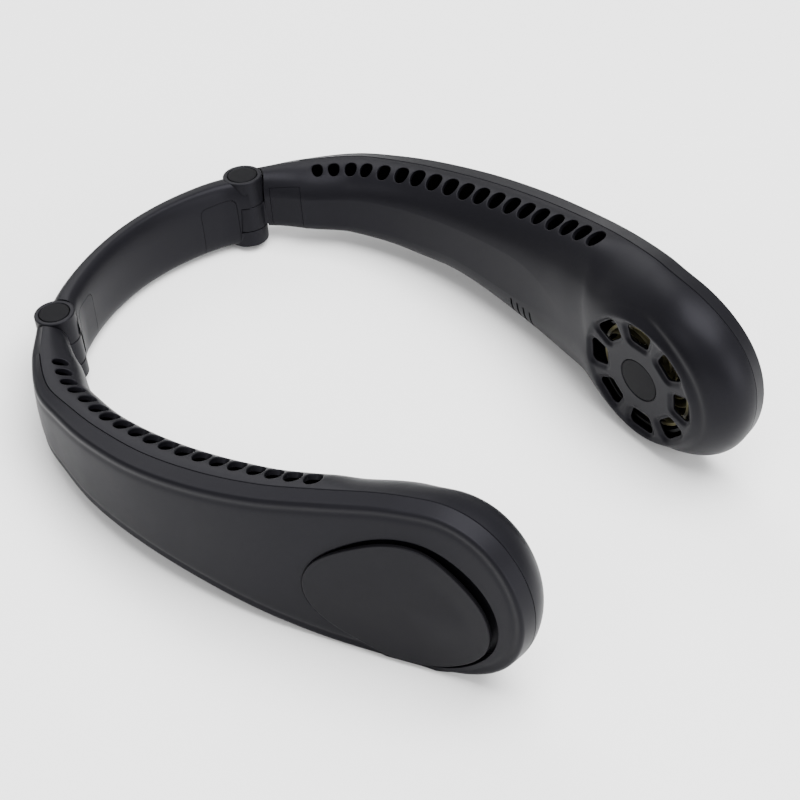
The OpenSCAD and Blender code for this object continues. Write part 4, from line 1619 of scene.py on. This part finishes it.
    def vent_places(self) -> list[tuple[Array, tuple[float, float]]]:
        """Frame of each vent, its +Z out of the arm's top, with its length and width.

        Returns:
            (frame, (length, width)) of each vent.
        """
        depth = Guide(self.vent_knots, self.vent_depth)
        made = []
        for i in range(self.vents):
            u = i * self.vent_knots[-1] / (self.vents - 1)
            f = float(np.interp(u, self.vent_marks, self.vent_shares)) * ARM_REACH
            here = self.form.frame_at(f, float(depth(u)), float(self.form.top(f)) + 0.6)
            size = tuple(float(np.interp(u, self.vent_knots, v)) for v in (self.vent_length, self.vent_width))
            made.append((here @ turned(0, -self.vent_tilt, 0) @ turned(0, 0, -7 * u / 18), size))
        return made

    def vent_cutters(self, surface: BVHTree) -> Solid:
        """All vents as one cutter with rounded lips.

        Args:
            surface: Search tree of the inner form.

        Returns:
            The cutter.
        """
        t = np.linspace(0, 2 * math.pi, 64, endpoint=False)
        x, y = (np.sign(v) * np.abs(v) ** 0.88 for v in (np.cos(t), np.sin(t)))
        tools = []
        for place, (length, width) in self.vent_places():
            outline = np.stack([x * length / 2, y * (width / 2) * (1 + 0.1 * x)], 1)
            tools.append(lipped_cutter(surface, place, outline, 7.0, self.vent_lip))
        return merged(tools)

    def slit_cutters(self) -> Solid:
        """Short upright slits low on the inner face.

        Returns:
            The cutter.
        """
        tools = []
        outline = hull_outline([(-3.0, 0, self.slit_half), (3.2, 0, self.slit_half)], 40)
        for i in range(self.slits):
            f, level = ARM_REACH * (self.slit_from + self.slit_step * i), self.slit_level - self.slit_fall * i
            place = self.form.frame_at(f, self.slit_depth, level)
            tools.append(prism(outline, -4, 3).at(place @ turned(0, 90, 0)))
        return merged(tools)

    def egg_block(self, outline: Egg, levels: list[tuple[float, float]]) -> Solid:
        """Egg-shaped block through (grow, depth) levels."""
        loops = [(outline(grow), w) for grow, w in levels]
        return lofted([self.form.spot(o[:, 0], w, o[:, 1]) for o, w in loops])

    def floor_cut(self) -> Solid:
        """Everything below the surface that the part stands on."""
        return box(-BIG, BIG, -BIG, BIG, -BIG, 0.0).at(np.linalg.inv(SEAT.place))

    def common_inner(self) -> bpy.types.Object:
        """Inner shell as it is on both sides.

        Returns:
            The working object.
        """
        solid = self.inner_solid()
        work = self.bench.cut(self.bench.block(solid, "inner"), self.inner_hollow())
        self.bench.join(work, self.neck(), Join.WELD)
        pocket = self.bench.shape(self.skin(1, 0.18), cuts=[self.skin(-self.panel_depth - 0.1, 0.08)],
                                  keep=self.hinge.cover_zone(self.panel_gap))
        return self.bench.cut(work, self.vent_cutters(solid.tree()), self.grille.cutters(),
                              *self.hinge.end_cut(), self.hinge.tab_opening(), self.slit_cutters(), pocket,
                              self.floor_cut())

    def neck(self) -> bpy.types.Object:
        """The short length at the hinge where both halves are one.

        Returns:
            The working object.
        """
        form, start = self.form, self.form.start
        rings = [form.face_ring(s, 0, self.crease_soft, start) for s in (0.98, 0.8, 0.6, 0.4, 0.2, 0.04)]
        rings += self.crease_rings() + [form.level_ring(0.3, 0, start)]
        solid = form.closed(rings, self.hub(-form.face_bulge), self.seam_hub(0))
        return self.bench.shape(solid, cuts=[self.outer_hollow()], keep=self.hinge.neck_zone(0), name="neck")

    def outer(self) -> bpy.types.Object:
        """Outer shell with its egg-shaped recess.

        Returns:
            The working object.
        """
        work = self.bench.shape(self.outer_solid(), cuts=[self.outer_hollow()], name="outer")
        boss = self.egg_block(self.recess, [(1.2, 0.1), (1.2, self.recess_depth + 1.5)])
        self.bench.join(work, boss, Join.WELD)
        soft = self.recess_soft
        levels = [(-soft, self.recess_depth)]
        levels += [(-soft * math.cos(t), soft * (1 - math.sin(t)) - self.recess_lip)
                   for t in np.linspace(0, math.pi / 2, 9)]
        levels.append((0.02, -4.0))
        turns = (math.radians(360 / self.intakes * i) for i in range(self.intakes))
        at, r = self.intake_at, self.intake_radius
        circles = [(at * math.cos(a), at * math.sin(a), r) for a in turns]
        holes = merged(prism(hull_outline([circle], 24), -30, -14) for circle in circles)
        return self.bench.cut(work, self.egg_block(self.recess, levels), holes.at(self.form.grille),
                              *self.hinge.end_cut(), self.hinge.tab_opening(),
                              self.hinge.neck_zone(self.form.seam_gap), self.floor_cut())

    def plate_solid(self) -> Solid:
        """The egg plate: a thin slab with a fine rounded rim and a barely crowned face.

        Returns:
            The solid, without its posts.
        """
        top, low, soft = -self.plate_proud, self.plate_thick - self.plate_proud, self.plate_soft
        levels = [(-0.25, low), (0.0, low - 0.25)]
        levels += [(-soft * a, top + soft * b) for a, b in quarter(5)]
        levels += [(-2.0, top - 0.02), (-6.0, top - 0.06), (-11.0, top - 0.09)]
        return self.egg_block(self.plate, levels)

    def posts(self) -> Solid:
        """Three posts that hold the plate off the floor of the recess.

        Returns:
            All three as one solid.
        """
        foot, r = self.recess_depth - 0.15, self.post_radius
        height = foot + self.plate_proud - self.plate_thick + 0.4
        post = lathed([(0, 0), (r + 0.3, 0), (r, 0.4), (r, height), (0, height)], 40)
        return merged(post.at(self.form.frame_at(ARM_REACH * reach, foot, ARM_RISE * level) @ turned(0, 90, 0))
                      for reach, level in self.post_spots)

    def tab(self) -> bpy.types.Object:
        """The arm's barrel with its block and root.

        Returns:
            The working object.
        """
        h, soft = self.hinge, 0.3
        low, top = h.middle_low, h.middle_top
        profile = [(0, low)] + fillet(h.radius, low, soft, False)
        profile += fillet(h.radius, top, soft, True, outward=False)
        barrel = lathed(profile + [(0, top)])
        block = box(3.5, h.radius + h.hug - 0.1, -h.radius * 0.78, h.radius * 0.2, low + 0.1, top - 0.1)
        t = h.root_thick / 2
        root = box(3.5, h.radius * 2.5, -t - 0.6, t - 1.2, low + 1, top - 1)
        bore = plug(h.pin + 0.05, low - 1, top + 1).at(h.place)
        welds = [block.at(h.facing(h.face_turn)), root.at(h.facing(h.tab_turn))]
        return self.bench.shape(barrel.at(h.place), cuts=[bore], welds=welds, name="tab")

    def at_under(self, f: float) -> Array:
        """Frame on the underside of the arm, +Z into the arm."""
        return self.form.frame_at(f, self.control_w, float(self.form.bottom(f)) - self.form.seam_rise_low)

    def control_cuts(self) -> list[Solid]:
        """Openings of the button, the light and the socket.

        Returns:
            The cutters, in that order.
        """
        half, end = self.button_half, self.button_end
        stadium = hull_outline([(0, -half, end), (0, half, end)], 80)
        x, y = self.socket_half
        return [
            prism(stadium, 4.4, -3.0).at(self.at_under(self.button_at)),
            plug(self.light_radius, -3, 4, 48).at(self.at_under(self.light_at)),
            box(-x, x, -y, y, -3, 4).at(self.at_under(self.socket_at)),
        ]

    def build(self) -> None:
        """Makes both arms."""
        inner, outer, tab = self.common_inner(), self.outer(), self.tab()
        cover = self.bench.shape(self.skin(0, 0.3), cuts=[self.skin(-self.panel_depth, 0.2)],
                                 keep=self.hinge.cover_zone(0), name="cover")
        plate = self.bench.shape(self.plate_solid(), welds=[self.posts()], name="plate")
        look = self.finishes
        for side in Side:
            w = side.word
            shell = self.bench.block(inner, "shell")
            if side is Side.RIGHT:
                x, y = self.boss_half
                boss = box(-x, x, -y, y, 0.6, 3.1).at(self.at_under(self.button_at))
                self.bench.join(shell, boss, Join.WELD)
                self.bench.cut(shell, *self.control_cuts())
            made = [
                (shell, "arm_inner_shell", look.inner, "shell"),
                (self.bench.block(outer), "arm_outer_shell", look.shell, "shell"),
                (self.bench.block(tab), "hinge_tab", look.shell, "shell"),
                (self.bench.block(cover), "arm_cover", look.panel, "panel"),
                (self.bench.block(plate), "outer_plate", look.plate, "plate"),
                (self.grille.disc(), "grille_disc", look.cap, "cap"),
            ]
            for work, node, finish, slot in made:
                self.bench.finish(work, f"{w}_{node}", f"{w}_arm", finish, slot, side)
        for work in (inner, outer, tab, cover, plate):
            bpy.data.objects.remove(work)


# Bridge and hinges


@dataclass
class Bridge:
    """The bow behind the neck: two shells, two panels and the two hinge forks."""

    bench: Bench
    finishes: Finishes
    hinge: HingeLine = field(default_factory=HingeLine)
    back: float = 15.4
    thick: float = 7.6
    height: float = 26.0
    rise: float = 2.4
    sag: float = 2.1
    bow_out: float = 0.0038
    bow_in: float = 0.0056
    flare: float = 0.03
    cap_share: float = 0.74
    wall: float = 1.8
    seam_in: float = 2.6
    seam_gap: float = 0.1
    panel_depth: float = 1.0
    panel_gap: float = 0.15
    panel_from: float = 0.585
    panel_to: float = 0.835
    panel_top: float = -5.2
    panel_corner: float = 2.2
    square_under: float = 4.8
    square_over: float = 3.2
    barrel_gap: float = 0.12
    barrel_soft: float = 0.45
    seat_gap: float = 0.22
    seat_level: float = -1.4
    cap_low: float = -1.3
    cap_crown: float = 0.05
    steps: int = 120

    @property
    def end(self) -> float:
        """Half length of the bow."""
        return self.hinge.half_span * 0.91

    @property
    def place(self) -> Array:
        """The bow leans with the hinges."""
        return turned(-self.hinge.lean, 0, 0)

    def out_line(self, x: Array) -> Array:
        """Outer face in plan."""
        return self.back - self.bow_out * x * x

    def in_line(self, x: Array) -> Array:
        """Inner face in plan."""
        flare = np.maximum(np.abs(x) - self.hinge.half_span * 0.72, 0)
        return self.back - self.thick - self.bow_in * x * x - self.flare * flare ** 2

    def section(self, x: float, inset: float, count: int = 96) -> Array:
        """Rounded section of the bow at x.

        Args:
            x: Where along the bow.
            inset: How far it is shrunk.
            count: Number of points.

        Returns:
            Points (count, 3).
        """
        y0, y1 = float(self.in_line(np.array(x))), float(self.out_line(np.array(x)))
        drop = self.sag * (x / self.end) ** 2
        z0, z1 = self.rise - self.height - drop, self.rise - drop
        a = np.linspace(0, 2 * math.pi, count, endpoint=False)
        n = np.where(a > math.pi, self.square_under, self.square_over)

        def bow(v: Array) -> Array:
            """Signed power that squares the section off."""
            return np.sign(v) * np.abs(v) ** (2 / n)

        y = (y0 + y1) / 2 + ((y1 - y0) / 2 - inset) * bow(np.cos(a))
        z = (z0 + z1) / 2 + ((z1 - z0) / 2 - inset) * bow(np.sin(a))
        return np.stack([np.full(count, x), y, z], 1)

    def block(self, inset: float) -> Solid:
        """The whole bow, shrunk by inset."""
        rings = [self.section(x, inset) for x in np.linspace(self.end, -self.end, self.steps)]
        return lofted(rings).at(self.place)

    def half(self, outer: bool) -> Solid:
        """Everything on one side of the seam.

        Args:
            outer: Whether it is the outer side.

        Returns:
            The solid.
        """
        end = self.end * 1.02
        x = np.linspace(end, -end, 80)
        line = self.out_line(x) - self.seam_in + (self.seam_gap if outer else 0)
        far = BIG if outer else -BIG
        plan = np.r_[np.stack([x, line], 1), [[-end, far], [end, far]]]
        rings = [np.c_[plan, np.full(len(plan), z)] for z in (-BIG / 2, BIG / 2)]
        n = len(plan)
        ends = [tuple(range(n))[::-1], tuple(range(n, 2 * n))]
        return Solid(np.vstack(rings), bands(n, 2) + ends).at(self.place)

    def barrel_space(self) -> Solid:
        """Room for both hinges.

        Returns:
            The cutter.
        """
        h = self.hinge
        r, wide = h.radius + self.barrel_gap, h.radius + 0.6
        profile = [(0, -h.height - 9), (r, -h.height - 9), (r, h.lower_top - 0.1), (wide, h.lower_top - 0.1),
                   (wide, h.middle_top + 0.4), (r, h.middle_top + 0.4), (r, 9), (0, 9)]
        one = lathed(profile).at(h.place)
        return one + one.at(OTHER_SIDE)

    def panel_zone(self, gap: float) -> Solid:
        """Blocks with rounded upper corners that outline both panels.

        Args:
            gap: Room left round each panel.

        Returns:
            Both blocks as one solid.
        """
        span, r = self.hinge.half_span, self.panel_corner
        x0, x1, top = span * self.panel_from - gap, span * self.panel_to + gap, self.panel_top + gap
        corners = [(x0 + r, top - r, r), (x1 - r, top - r, r), (x0 + 0.1, -60, 0.1), (x1 - 0.1, -60, 0.1)]
        x, z = hull_outline(corners, 260).T
        ends = [np.stack([x, np.full(len(x), y), z], 1) for y in (-60.0, self.back * 0.3)]
        one = lofted(ends).at(self.place)
        return one + one.at(OTHER_SIDE)

    def shell(self, outer: bool) -> bpy.types.Object:
        """One half of the bow.

        Args:
            outer: Whether it is the outer half.

        Returns:
            The working object.
        """
        cuts = [self.block(self.wall), self.barrel_space()]
        work = self.bench.shape(self.block(0), cuts=cuts, keep=self.half(outer), name="bow")
        if outer:
            return work
        pocket = self.bench.shape(self.block(-1), cuts=[self.block(self.panel_depth + 0.1)],
                                  keep=self.panel_zone(self.panel_gap), name="pocket")
        return self.bench.cut(work, pocket)

    def fork(self) -> bpy.types.Object:
        """Upper and lower barrel of a hinge with the root that holds them.

        Returns:
            The working object.
        """
        h, soft = self.hinge, self.barrel_soft
        top, low = 0.0, -h.height
        seat_r, seat = h.radius * self.cap_share + self.seat_gap, self.seat_level
        upper = [(0, -h.upper)] + fillet(h.radius, -h.upper, 0.2, False)
        upper += fillet(h.radius, top, soft, True, outward=False)
        upper += [(seat_r + 0.2, top), (seat_r, -0.2), (seat_r, seat), (0, seat)]
        lower = [(0, low + 1.3), (2.1, low + 1.3), (2.1, low)] + fillet(h.radius, low, soft, False)
        lower += fillet(h.radius, h.lower_top, 0.2, True, outward=False) + [(0, h.lower_top)]
        root = box(0, h.radius * 2.3, -h.root_thick / 2, h.root_thick / 2, low + 4.6, -3.6)
        space = plug(h.radius + 0.45, h.middle_low - h.gap, h.middle_top + h.gap)
        bore = plug(h.pin + 0.02, low + 1.4, 1)
        root_work = self.bench.shape(root.at(h.facing(h.root_turn)), cuts=[space.at(h.place)], name="root")
        work = self.bench.block((lathed(upper) + lathed(lower)).at(h.place), "fork")
        self.bench.join(work, root_work, Join.WELD)
        return self.bench.cut(work, bore.at(h.place))

    def cap(self) -> Solid:
        """Round cap let into the top of the upper barrel.

        Returns:
            The solid.
        """
        r, low, crown = self.hinge.radius * self.cap_share, self.cap_low, self.cap_crown
        profile = [(0, low), (r, low)] + fillet(r, crown, 0.25, True, outward=False)
        profile += [(r * s, crown + crown * (1 - s * s)) for s in (0.75, 0.5, 0.25, 0)]
        return lathed(profile).at(self.hinge.place)

    def build(self) -> None:
        """Makes the bow, its panels and both forks."""
        look = self.finishes
        self.bench.finish(self.shell(False), "bridge_inner_shell", "bridge", look.inner, "shell")
        self.bench.finish(self.shell(True), "bridge_outer_shell", "bridge", look.shell, "shell")
        one = self.bench.shape(self.block(0), cuts=[self.block(self.panel_depth), self.barrel_space()],
                               keep=self.panel_zone(0), name="covers")
        self.bench.join(one, box(0, BIG, -BIG, BIG, -BIG, BIG), Join.KEEP)
        fork = self.fork()
        for side in Side:
            made = [
                (self.bench.block(one), "bridge_cover", look.panel, "panel"),
                (self.bench.block(fork), "hinge_fork", look.shell, "shell"),
                (self.cap(), "hinge_cap", look.cap, "cap"),
            ]
            for work, node, finish, slot in made:
                self.bench.finish(work, f"{side.word}_{node}", "bridge", finish, slot, side)
        bpy.data.objects.remove(one)
        bpy.data.objects.remove(fork)


# Blower and controls


@dataclass
class Blower:
    """The wheels in the heads."""

    bench: Bench
    finishes: Finishes
    form: ArmForm = field(default_factory=ArmForm)
    wheel_radius: float = 20.2
    wheel_height: float = 6.6
    blades: int = 20
    rotor_radius: float = 7.4
    wheel_low: float = -11.0
    sweep: float = 34.0
    sweep_power: float = 1.3
    blade_thick: float = 0.55
    blade_from: float = 0.56
    tip_gap: float = 0.25
    lead_share: float = 0.55
    taper: float = 0.45
    hub_height: float = 6.2
    hub_floor: float = 5.51
    rim_width: float = 1.2
    facets: int = 120

    def blade(self, angle: float) -> Solid:
        """One curved blade with a tapering section.

        Args:
            angle: Where its inner end stands, in degrees.

        Returns:
            The solid.
        """
        rings = []
        r0, r1 = self.wheel_radius * self.blade_from, self.wheel_radius - self.tip_gap
        for s in np.linspace(0, 1, 13):
            r = r0 + (r1 - r0) * s
            turn = math.radians(angle + self.sweep * s ** self.sweep_power)
            bend = self.sweep * self.sweep_power * s ** (self.sweep_power - 1) * self.lead_share
            lead = turn + math.radians(bend)
            across = np.array([-math.sin(lead), math.cos(lead), 0])
            thick = self.blade_thick * (1 - self.taper * s)
            mid = np.array([r * math.cos(turn), r * math.sin(turn), 0])
            low, high = self.wheel_low + 0.4, self.wheel_low + self.wheel_height - 0.35 - 1.2 * (1 - s)
            rings.append(np.array([
                mid - across * thick + [0, 0, low], mid + across * thick + [0, 0, low],
                mid + across * thick + [0, 0, high - 0.3], mid + across * thick * 0.5 + [0, 0, high],
                mid - across * thick * 0.5 + [0, 0, high], mid - across * thick + [0, 0, high - 0.3],
            ]))
        return lofted(rings)

    def wheel(self) -> bpy.types.Object:
        """Hub, back plate, rim and blades in one.

        Returns:
            The working object.
        """
        low, r = self.wheel_low, self.wheel_radius
        hub, inside = self.rotor_radius + 1, self.rotor_radius + 0.01
        top, high, floor = low + self.hub_height, low + self.wheel_height, low + self.hub_floor
        profile = [(0, floor), (inside, floor), (inside, low), (r, low), (r, low + 0.6),
                   (r - 0.2, low + 0.8), (hub + 1.6, low + 0.9), (hub + 0.5, low + 1.4), (hub, low + 2.4)]
        profile += fillet(hub, top, 0.8, True, outward=False) + [(0, top)]
        wheel = self.bench.block(lathed(profile, self.facets), "wheel")
        bore = r - self.rim_width
        outline = [(bore, high - 0.7), (r - 0.15, high - 0.8), (r, high - 0.6), (r, high - 0.15),
                   (r - 0.15, high), (bore, high)]
        turns = np.linspace(0, 2 * math.pi, self.facets, endpoint=False)
        rings = [np.array([(q * math.cos(t), q * math.sin(t), z) for q, z in outline]) for t in turns]
        rim = lofted(rings, True)
        blades = merged(self.blade(i * 360 / self.blades) for i in range(self.blades))
        self.bench.join(wheel, blades, Join.WELD)
        self.bench.join(wheel, rim, Join.WELD)
        wheel.data.transform(Matrix(self.form.grille))
        return wheel

    def build(self) -> None:
        """Makes both wheels."""
        wheel = self.wheel()
        for side in Side:
            w = side.word
            # The wheels take the fan finish, darkened as painted shade for the inside of the heads.
            self.bench.finish(self.bench.block(wheel), f"{w}_impeller", f"{w}_fan", self.finishes.fan,
                              "fan_plastic", side)
        bpy.data.objects.remove(wheel)


@dataclass
class Controls:
    """Button on the underside of the right arm."""

    bench: Bench
    finishes: Finishes
    arm: Arm
    half: float = 2.3
    end: float = 2.2

    def button(self) -> Solid:
        """Stadium button with a rounded, slightly dished face and a flange.

        Returns:
            The solid.
        """
        levels = ((1.0, 4.2), (1.0, 3.4), (0.0, 3.4), (0.0, -0.35), (-0.1, -0.55), (-0.35, -0.7),
                  (-0.9, -0.62), (-1.6, -0.56))
        circles = [([(0, y, self.end + grow) for y in (-self.half, self.half)], z) for grow, z in levels]
        loops = [(hull_outline(pair, 80), z) for pair, z in circles]
        rings = [np.c_[o, np.full(len(o), z)] for o, z in loops]
        return lofted(rings).at(self.arm.at_under(self.arm.button_at))

    def build(self) -> None:
        """Makes the button."""
        self.bench.finish(self.button(), "right_power_button", "power_button", self.finishes.button, "button",
                          Side.RIGHT)


@dataclass
class CarriedOver:
    """Small parts whose solids are kept and only dressed."""

    finishes: Finishes

    def build(self) -> None:
        """Gives every kept solid its finish."""
        look = self.finishes
        # The socket tongue, blower housings and air ducts take the darker black that is painted shade for
        # their cavities.
        plan = {
            "bridge_wire": look.lead,
            "right_usb_socket": look.socket, "right_socket_tongue": look.shade_dark_interior,
            "right_status_light": look.light, "right_control_board": look.board,
        }
        for side in Side:
            w = side.word
            plan |= {
                f"{w}_hinge_pin": look.steel, f"{w}_hinge_screw": look.screw, f"{w}_battery": look.wrap,
                f"{w}_motor_stator": look.winding, f"{w}_motor_rotor": look.steel,
                f"{w}_blower_housing": look.shade_dark_interior, f"{w}_air_duct": look.shade_dark_interior,
            }
        for node, finish in plan.items():
            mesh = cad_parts[node].data
            mesh.materials.clear()
            mesh.materials.append(finish)
            LOG.info("%s keeps its solid, in %s", node, finish.name)


# Studio


@dataclass
class Studio:
    """Pale floor, soft lights and the camera."""

    camera_at: tuple[float, float, float] = (-578.05, -558.03, 619.84)
    azimuth: float = -52.30
    elevation: float = 40.99
    focal_pixels: float = 2856.7
    frame_pixels: float = 800.0
    sensor: float = 36.0
    floor_half: float = 4.0
    room: float = 0.75
    lamps: tuple[tuple[str, tuple[float, float, float], float, float], ...] = (
        ("top_light", (0.1, -0.25, 1.5), 1.35, 68),
        ("left_light", (-1.5, 0.2, 1.0), 0.8, 8),
        ("front_light", (0.05, -1.4, 0.45), 0.9, 16),
        ("back_light", (0.7, 1.3, 1.1), 0.9, 16),
    )

    def camera(self) -> None:
        """Sets the camera at the photograph's angle."""
        a, e = math.radians(self.azimuth), math.radians(self.elevation)
        back = np.array([math.sin(a) * math.cos(e), -math.cos(a) * math.cos(e), math.sin(e)])
        turn = SEAT.place[:3, :3]
        data = bpy.data.cameras.new("camera")
        data.sensor_width = self.sensor
        data.lens = self.sensor * self.focal_pixels / self.frame_pixels
        data.clip_start, data.clip_end = 0.05, 20.0
        camera = bpy.data.objects.new("camera", data)
        bpy.context.scene.collection.objects.link(camera)
        side = np.cross([0, 0, 1.0], back)
        side /= np.linalg.norm(side)
        up = np.cross(back, side)
        basis = turn @ np.stack([side, up, back], 1)
        place = np.eye(4)
        place[:3, :3] = basis
        place[:3, 3] = carried(np.array(self.camera_at), SEAT.place) * MM
        camera.matrix_world = Matrix(place)
        bpy.context.scene.camera = camera

    def floor(self) -> None:
        """Makes the plain pale floor."""
        mesh = bpy.data.meshes.new("floor")
        h = self.floor_half
        mesh.from_pydata([(-h, -h, 0), (h, -h, 0), (h, h, 0), (-h, h, 0)], [], [(0, 1, 2, 3)])
        floor = bpy.data.objects.new("floor", mesh)
        bpy.context.scene.collection.objects.link(floor)
        shop = Shop("floor_paper")
        cloud = shop.noise(60.0, 2.0, 0.5)
        tone = shop.mix(cloud, (0.90, 0.90, 0.90, 1), (0.93, 0.93, 0.93, 1))
        mesh.materials.append(shop.surface(Base_Color=tone, Roughness=0.9))

    def lamp(self, name: str, at: tuple[float, float, float], size: float, power: float) -> None:
        """Adds one soft square light that faces the part.

        Args:
            name: Its name.
            at: Where it stands, in metres.
            size: Side of the square, in metres.
            power: Power in watts.
        """
        data = bpy.data.lights.new(name, "AREA")
        data.shape, data.size, data.energy = "SQUARE", size, power
        lamp = bpy.data.objects.new(name, data)
        bpy.context.scene.collection.objects.link(lamp)
        lamp.location = at
        lamp.rotation_mode = "QUATERNION"
        lamp.rotation_quaternion = (-Vector(at)).to_track_quat("-Z", "Y")

    def world(self) -> None:
        """Fills the room with white light."""
        world = bpy.data.worlds.new("room")
        world.use_nodes = True
        background = world.node_tree.nodes["Background"]
        background.inputs["Color"].default_value = (1, 1, 1, 1)
        background.inputs["Strength"].default_value = self.room
        bpy.context.scene.world = world

    def build(self) -> None:
        """Makes the whole studio."""
        self.camera()
        self.floor()
        self.world()
        for lamp in self.lamps:
            self.lamp(*lamp)


def main() -> None:
    """Builds every assembly in order."""
    logging.basicConfig(level=logging.INFO, format="%(message)s")
    bench, finishes = Bench(), Finishes()
    arm = Arm(bench, finishes)
    assemblies = [CarriedOver(finishes), arm, Bridge(bench, finishes), Blower(bench, finishes),
                  Controls(bench, finishes, arm), Studio()]
    for assembly in assemblies:
        LOG.info("building %s", type(assembly).__name__)
        assembly.build()


if __name__ == "__main__":
    main()
